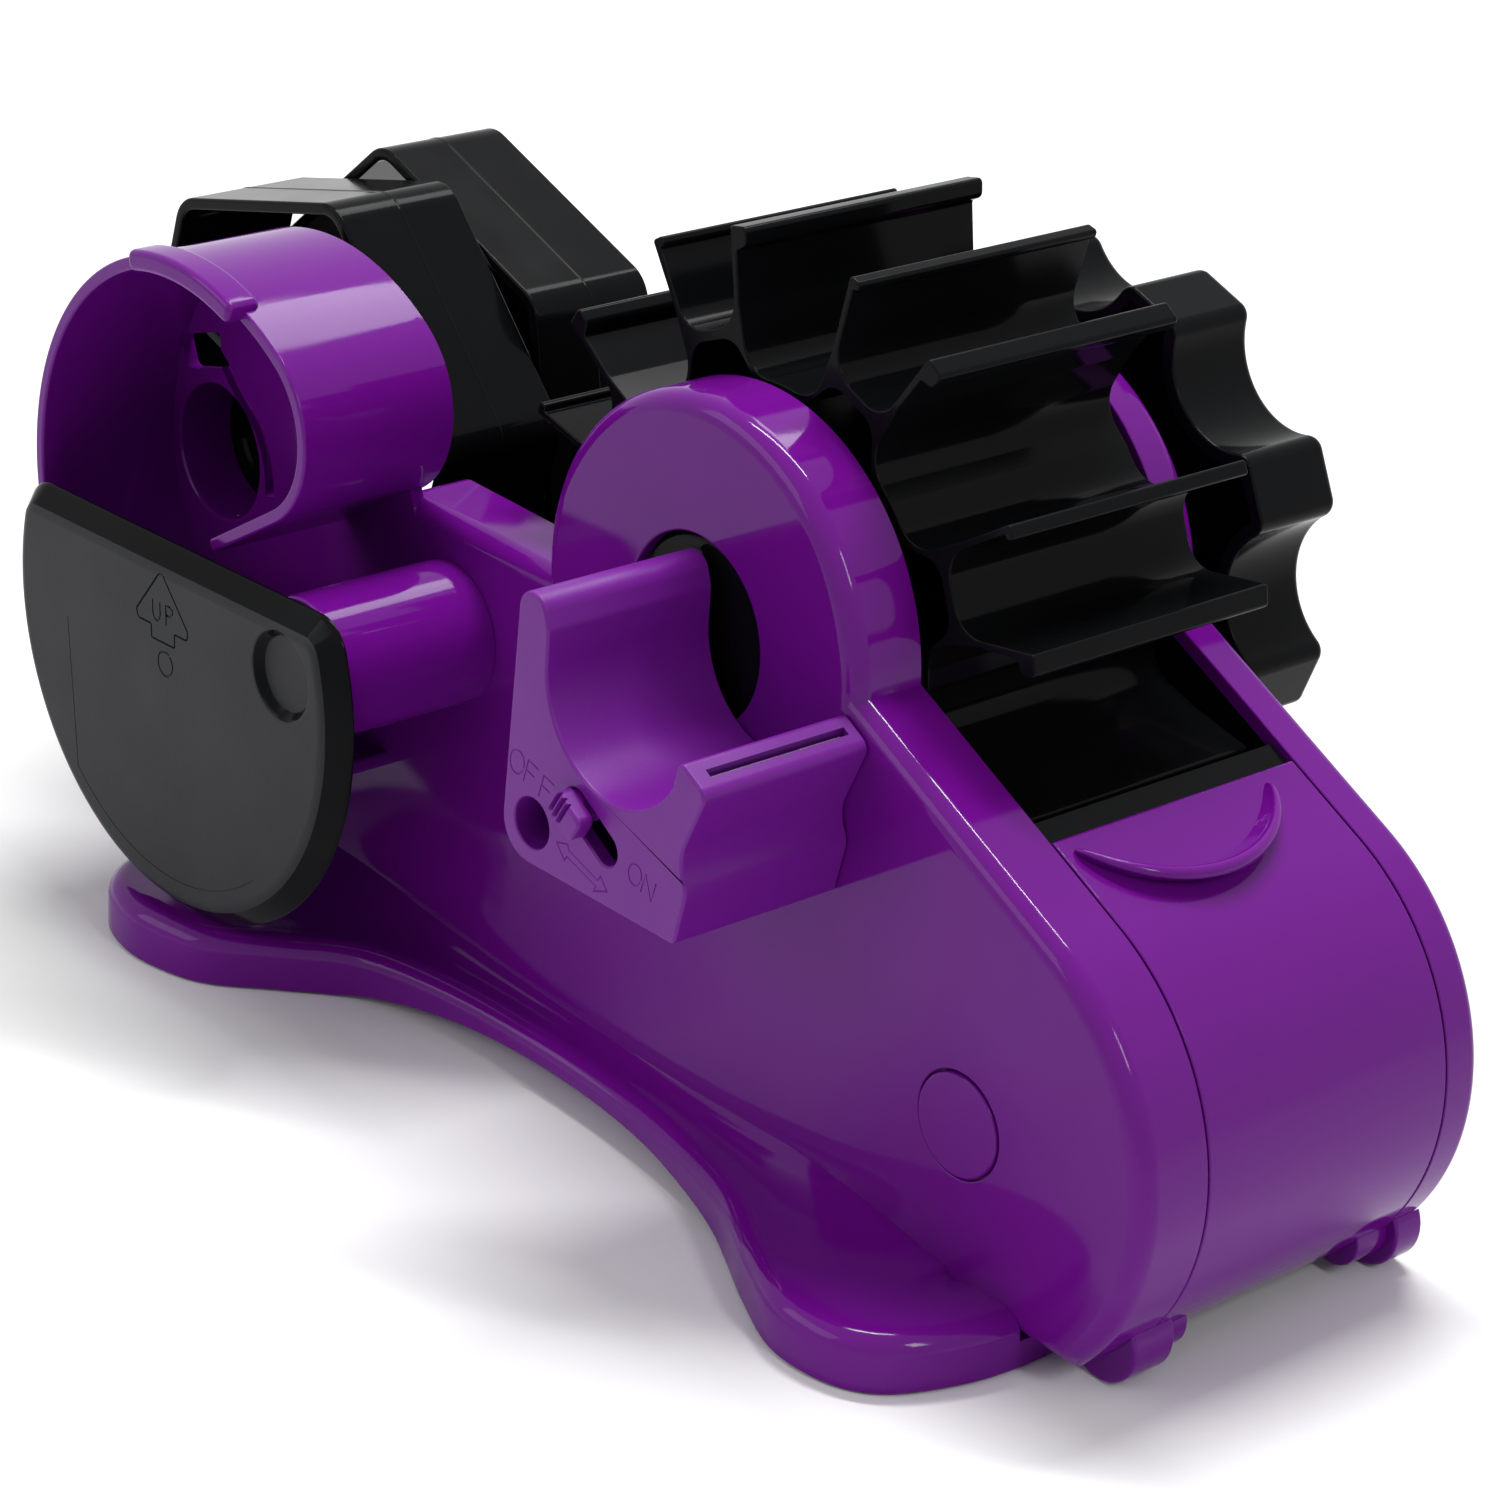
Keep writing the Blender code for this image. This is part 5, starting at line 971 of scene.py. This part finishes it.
# A disc with round scallops in its rim, each met by a rounded corner. Beta and gamma are the
# angles, seen from the axle and from the scallop, at which the corner's circle touches both.
def handwheelOutline():
    ring = handle["radius"] - handle["lobeCorner"]
    setting = handle["radius"] + handle["out"]
    apart = handle["scallop"] + handle["lobeCorner"]
    beta = math.acos((setting ** 2 + ring ** 2 - apart ** 2) / (2 * setting * ring))
    gamma = math.degrees(math.asin(ring * math.sin(beta) / apart))
    beta = math.degrees(beta)
    loops = []
    for i in range(handle["lobes"]):
        valley = handle["phase"] + 360 / handle["lobes"] * (i + 0.5)
        first, last = boss + towards(valley - beta, ring), boss + towards(valley + beta, ring)
        scallop = boss + towards(valley, setting)
        loops += [arcOf(first, handle["lobeCorner"], valley - beta, valley + gamma, 6),
            arcOf(scallop, handle["scallop"], valley + 180 + gamma, valley + 180 - gamma),
            arcOf(last, handle["lobeCorner"], valley - gamma, valley + beta, 6)]
    return tidyLoop(join(loops))


def handWheel():
    low, high = spanOf("handwheel")[:, 1]
    low += handle["gap"]
    loop = handwheelOutline()
    piece = sweptBody("handWheel", loop, edgeSection(low, high, handle["nearEdge"],
        handle["farEdge"], 6))
    wall = handle["wall"]
    carve(piece, sweptBody("hollow", loop, [(-wall, low - 2), (-wall, high - wall)]))
    hub = turnedBody("hub", boss, edgeSection(low - handle["gap"], high - wall / 2, 0.3, 0)
        + (handle["hub"], 0))
    carve(piece, hub, how="UNION")
    return carve(piece, holeTool(boss, handle["headGap"], high, -1, handle["headDepth"], 0.3),
        holeTool(boss, handle["bore"], low - handle["gap"], 1, high - low - handle["boreStop"],
        0.2))


settle(handWheel(), "blackGloss", "wheel", "handwheel")
print("made the wheels")

# Core reels

strap = {"sides": 6, "radius": 39.7, "corner": 5.5, "wall": 1.8, "edge": 0.45, "seamRise": 0.09,
         "seamWidth": 0.5, "spokes": 3, "spokeWidth": 12.0, "hub": 8.5, "bore": 4.4,
         "hubEdge": 0.4, "flare": 0.3, "rootSunk": 0.5, "tipSunk": 0.3,
         "phases": {"near_reel": 15.0, "far_reel": 41.0}}


# A hexagonal strap whose section is a rounded band with a fine parting line round its
# middle, on three spokes and a hub.
def coreReel(name, node):
    low, high = spanOf(node)[:, 1]
    phase, wall, edge = strap["phases"][node], strap["wall"], strap["edge"]
    step = 360 / strap["sides"]
    corners = [arcOf(reel, strap["radius"], phase + step * i, phase + step * i + 1)[0]
        for i in range(strap["sides"])]
    loop = roundCorners(corners, strap["corner"], 14)
    middle, half, up = (low + high) / 2, strap["seamWidth"] / 2, strap["seamRise"]
    side = edgeSection(low, high, edge)
    outer = join([side[:5], [(0, middle - half), (up, middle - half / 3), (up, middle + half / 3),
        (0, middle + half)], side[5:]])
    inner = edgeSection(low, high, edge)[::-1] * (-1, 1) - (wall, 0)
    piece = sweptBody(name, loop, join([outer, inner]), False)
    others = [hubTube(reel, low, high, strap)]
    flat = strap["radius"] * math.cos(math.radians(step / 2))
    for i in range(strap["spokes"]):
        out = towards(phase + step / 2 + 360 * i / strap["spokes"])
        line = reel + np.array([strap["hub"] - strap["rootSunk"],
            flat - wall + strap["tipSunk"]])[:, None] * out
        others.append(sweptBody("spoke", ribbonLoop(line, wall),
            edgeSection(middle - strap["spokeWidth"] / 2, middle + strap["spokeWidth"] / 2,
            strap["hubEdge"])))
    return gather(piece, *others)


settle(coreReel("nearReel", "near_reel"), "blackGloss", "near_reel", "near_reel")
settle(coreReel("farReel", "far_reel"), "blackGloss", "far_reel", "far_reel")

cap = {"edge": 0.4, "dish": 6.5, "depth": 0.5, "slope": 0.4}
settle(dishedDisc("reelAxleCap", "reel_axle_cap", reel, **cap), "blackGloss", "housing",
    "reel_axle_cap")
print("made the reels")

# Camera, light and floor
view = {"place": (376.97, -365.13, 293.75), "right": (0.6494, 0.7577, 0.0656),
        "down": (0.3621, -0.2322, -0.9026), "lens": 104.3}
camera = show("camera", bpy.data.cameras.new("camera"))
right, up = Vector(view["right"]).normalized(), -Vector(view["down"]).normalized()
turn = Matrix((right, up, right.cross(up))).transposed()
camera.matrix_world = (Matrix.Translation(Vector(np.array(view["place"]) / 1000 + origin))
    @ turn.to_4x4())
camera.data.lens = view["lens"]
camera.data.sensor_width = 36.0
camera.data.clip_end = 20.0
bpy.context.scene.camera = camera

# softboxes: place, width and height in millimetres, power in watts
lamps = {
    "overhead": {"place": (-120, 160, 900), "size": (600, 65), "power": 7.5},
    "ceiling": {"place": (-300, 500, 900), "size": (360, 240), "power": 2.5},
    "nearSide": {"place": (-450, -900, 620), "size": (900, 500), "power": 3.0},
    "front": {"place": (900, -60, 760), "size": (130, 300), "power": 2.2},
}
for name, lamp in lamps.items():
    light = bpy.data.lights.new(name, "AREA")
    light.shape = "RECTANGLE"
    light.size, light.size_y = (side / 1000 for side in lamp["size"])
    light.energy = lamp["power"]
    holder = show(name, light)
    holder.location = np.array(lamp["place"]) / 1000 + origin
    aim = Vector(origin) + Vector((0.0, 0.0, 0.05)) - holder.location
    holder.rotation_euler = aim.to_track_quat("-Z", "Y").to_euler()

world = bpy.data.worlds.new("studio")
bpy.context.scene.world = world
world.use_nodes = True
nodes, link = world.node_tree.nodes, world.node_tree.links.new
rays = addNode(nodes, "LightPath")
shown = rays.outputs["Is Camera Ray"]
for ray in ("Is Glossy Ray", "Is Transmission Ray"):
    either = addNode(nodes, "Math")
    either.operation = "MAXIMUM"
    link(shown, either.inputs[0])
    link(rays.outputs[ray], either.inputs[1])
    shown = either.outputs["Value"]
strength = addNode(nodes, "MapRange", **{"To Min": 0.40, "To Max": 1.0})
link(shown, strength.inputs["Value"])
link(strength.outputs["Result"], nodes["Background"].inputs["Strength"])
nodes["Background"].inputs["Color"].default_value = (1.0, 1.0, 1.0, 1.0)

floorMesh = bpy.data.meshes.new("floor")
reach = 1.2
floorMesh.from_pydata([(-reach, -reach, 0), (reach, -reach, 0), (reach, reach, 0),
    (-reach, reach, 0)], [], [(0, 1, 2, 3)])
floor = show("floor", floorMesh)
floorPaint = bpy.data.materials.new("floorPaint")
floorPaint.use_nodes = True
nodes, link = floorPaint.node_tree.nodes, floorPaint.node_tree.links.new
paint = nodes["Principled BSDF"]
paint.inputs["Roughness"].default_value = 0.8
paint.inputs["Base Color"].default_value = (0.85, 0.85, 0.85, 1.0)
# it fades into the background with the distance from its middle
away = addNode(nodes, "VectorMath")
away.operation = "LENGTH"
link(addNode(nodes, "TexCoord").outputs["Object"], away.inputs[0])
fade = addNode(nodes, "MapRange", **{"From Min": 0.30, "From Max": 0.95})
fade.interpolation_type = "SMOOTHSTEP"
link(away.outputs["Value"], fade.inputs["Value"])
blend = addNode(nodes, "MixShader")
link(fade.outputs["Result"], blend.inputs["Fac"])
link(paint.outputs["BSDF"], blend.inputs[1])
link(addNode(nodes, "BsdfTransparent").outputs["BSDF"], blend.inputs[2])
link(blend.outputs["Shader"], nodes["Material Output"].inputs["Surface"])
floorMesh.materials.append(floorPaint)
bpy.context.scene.view_settings.view_transform = "Standard"
print("set the stage")
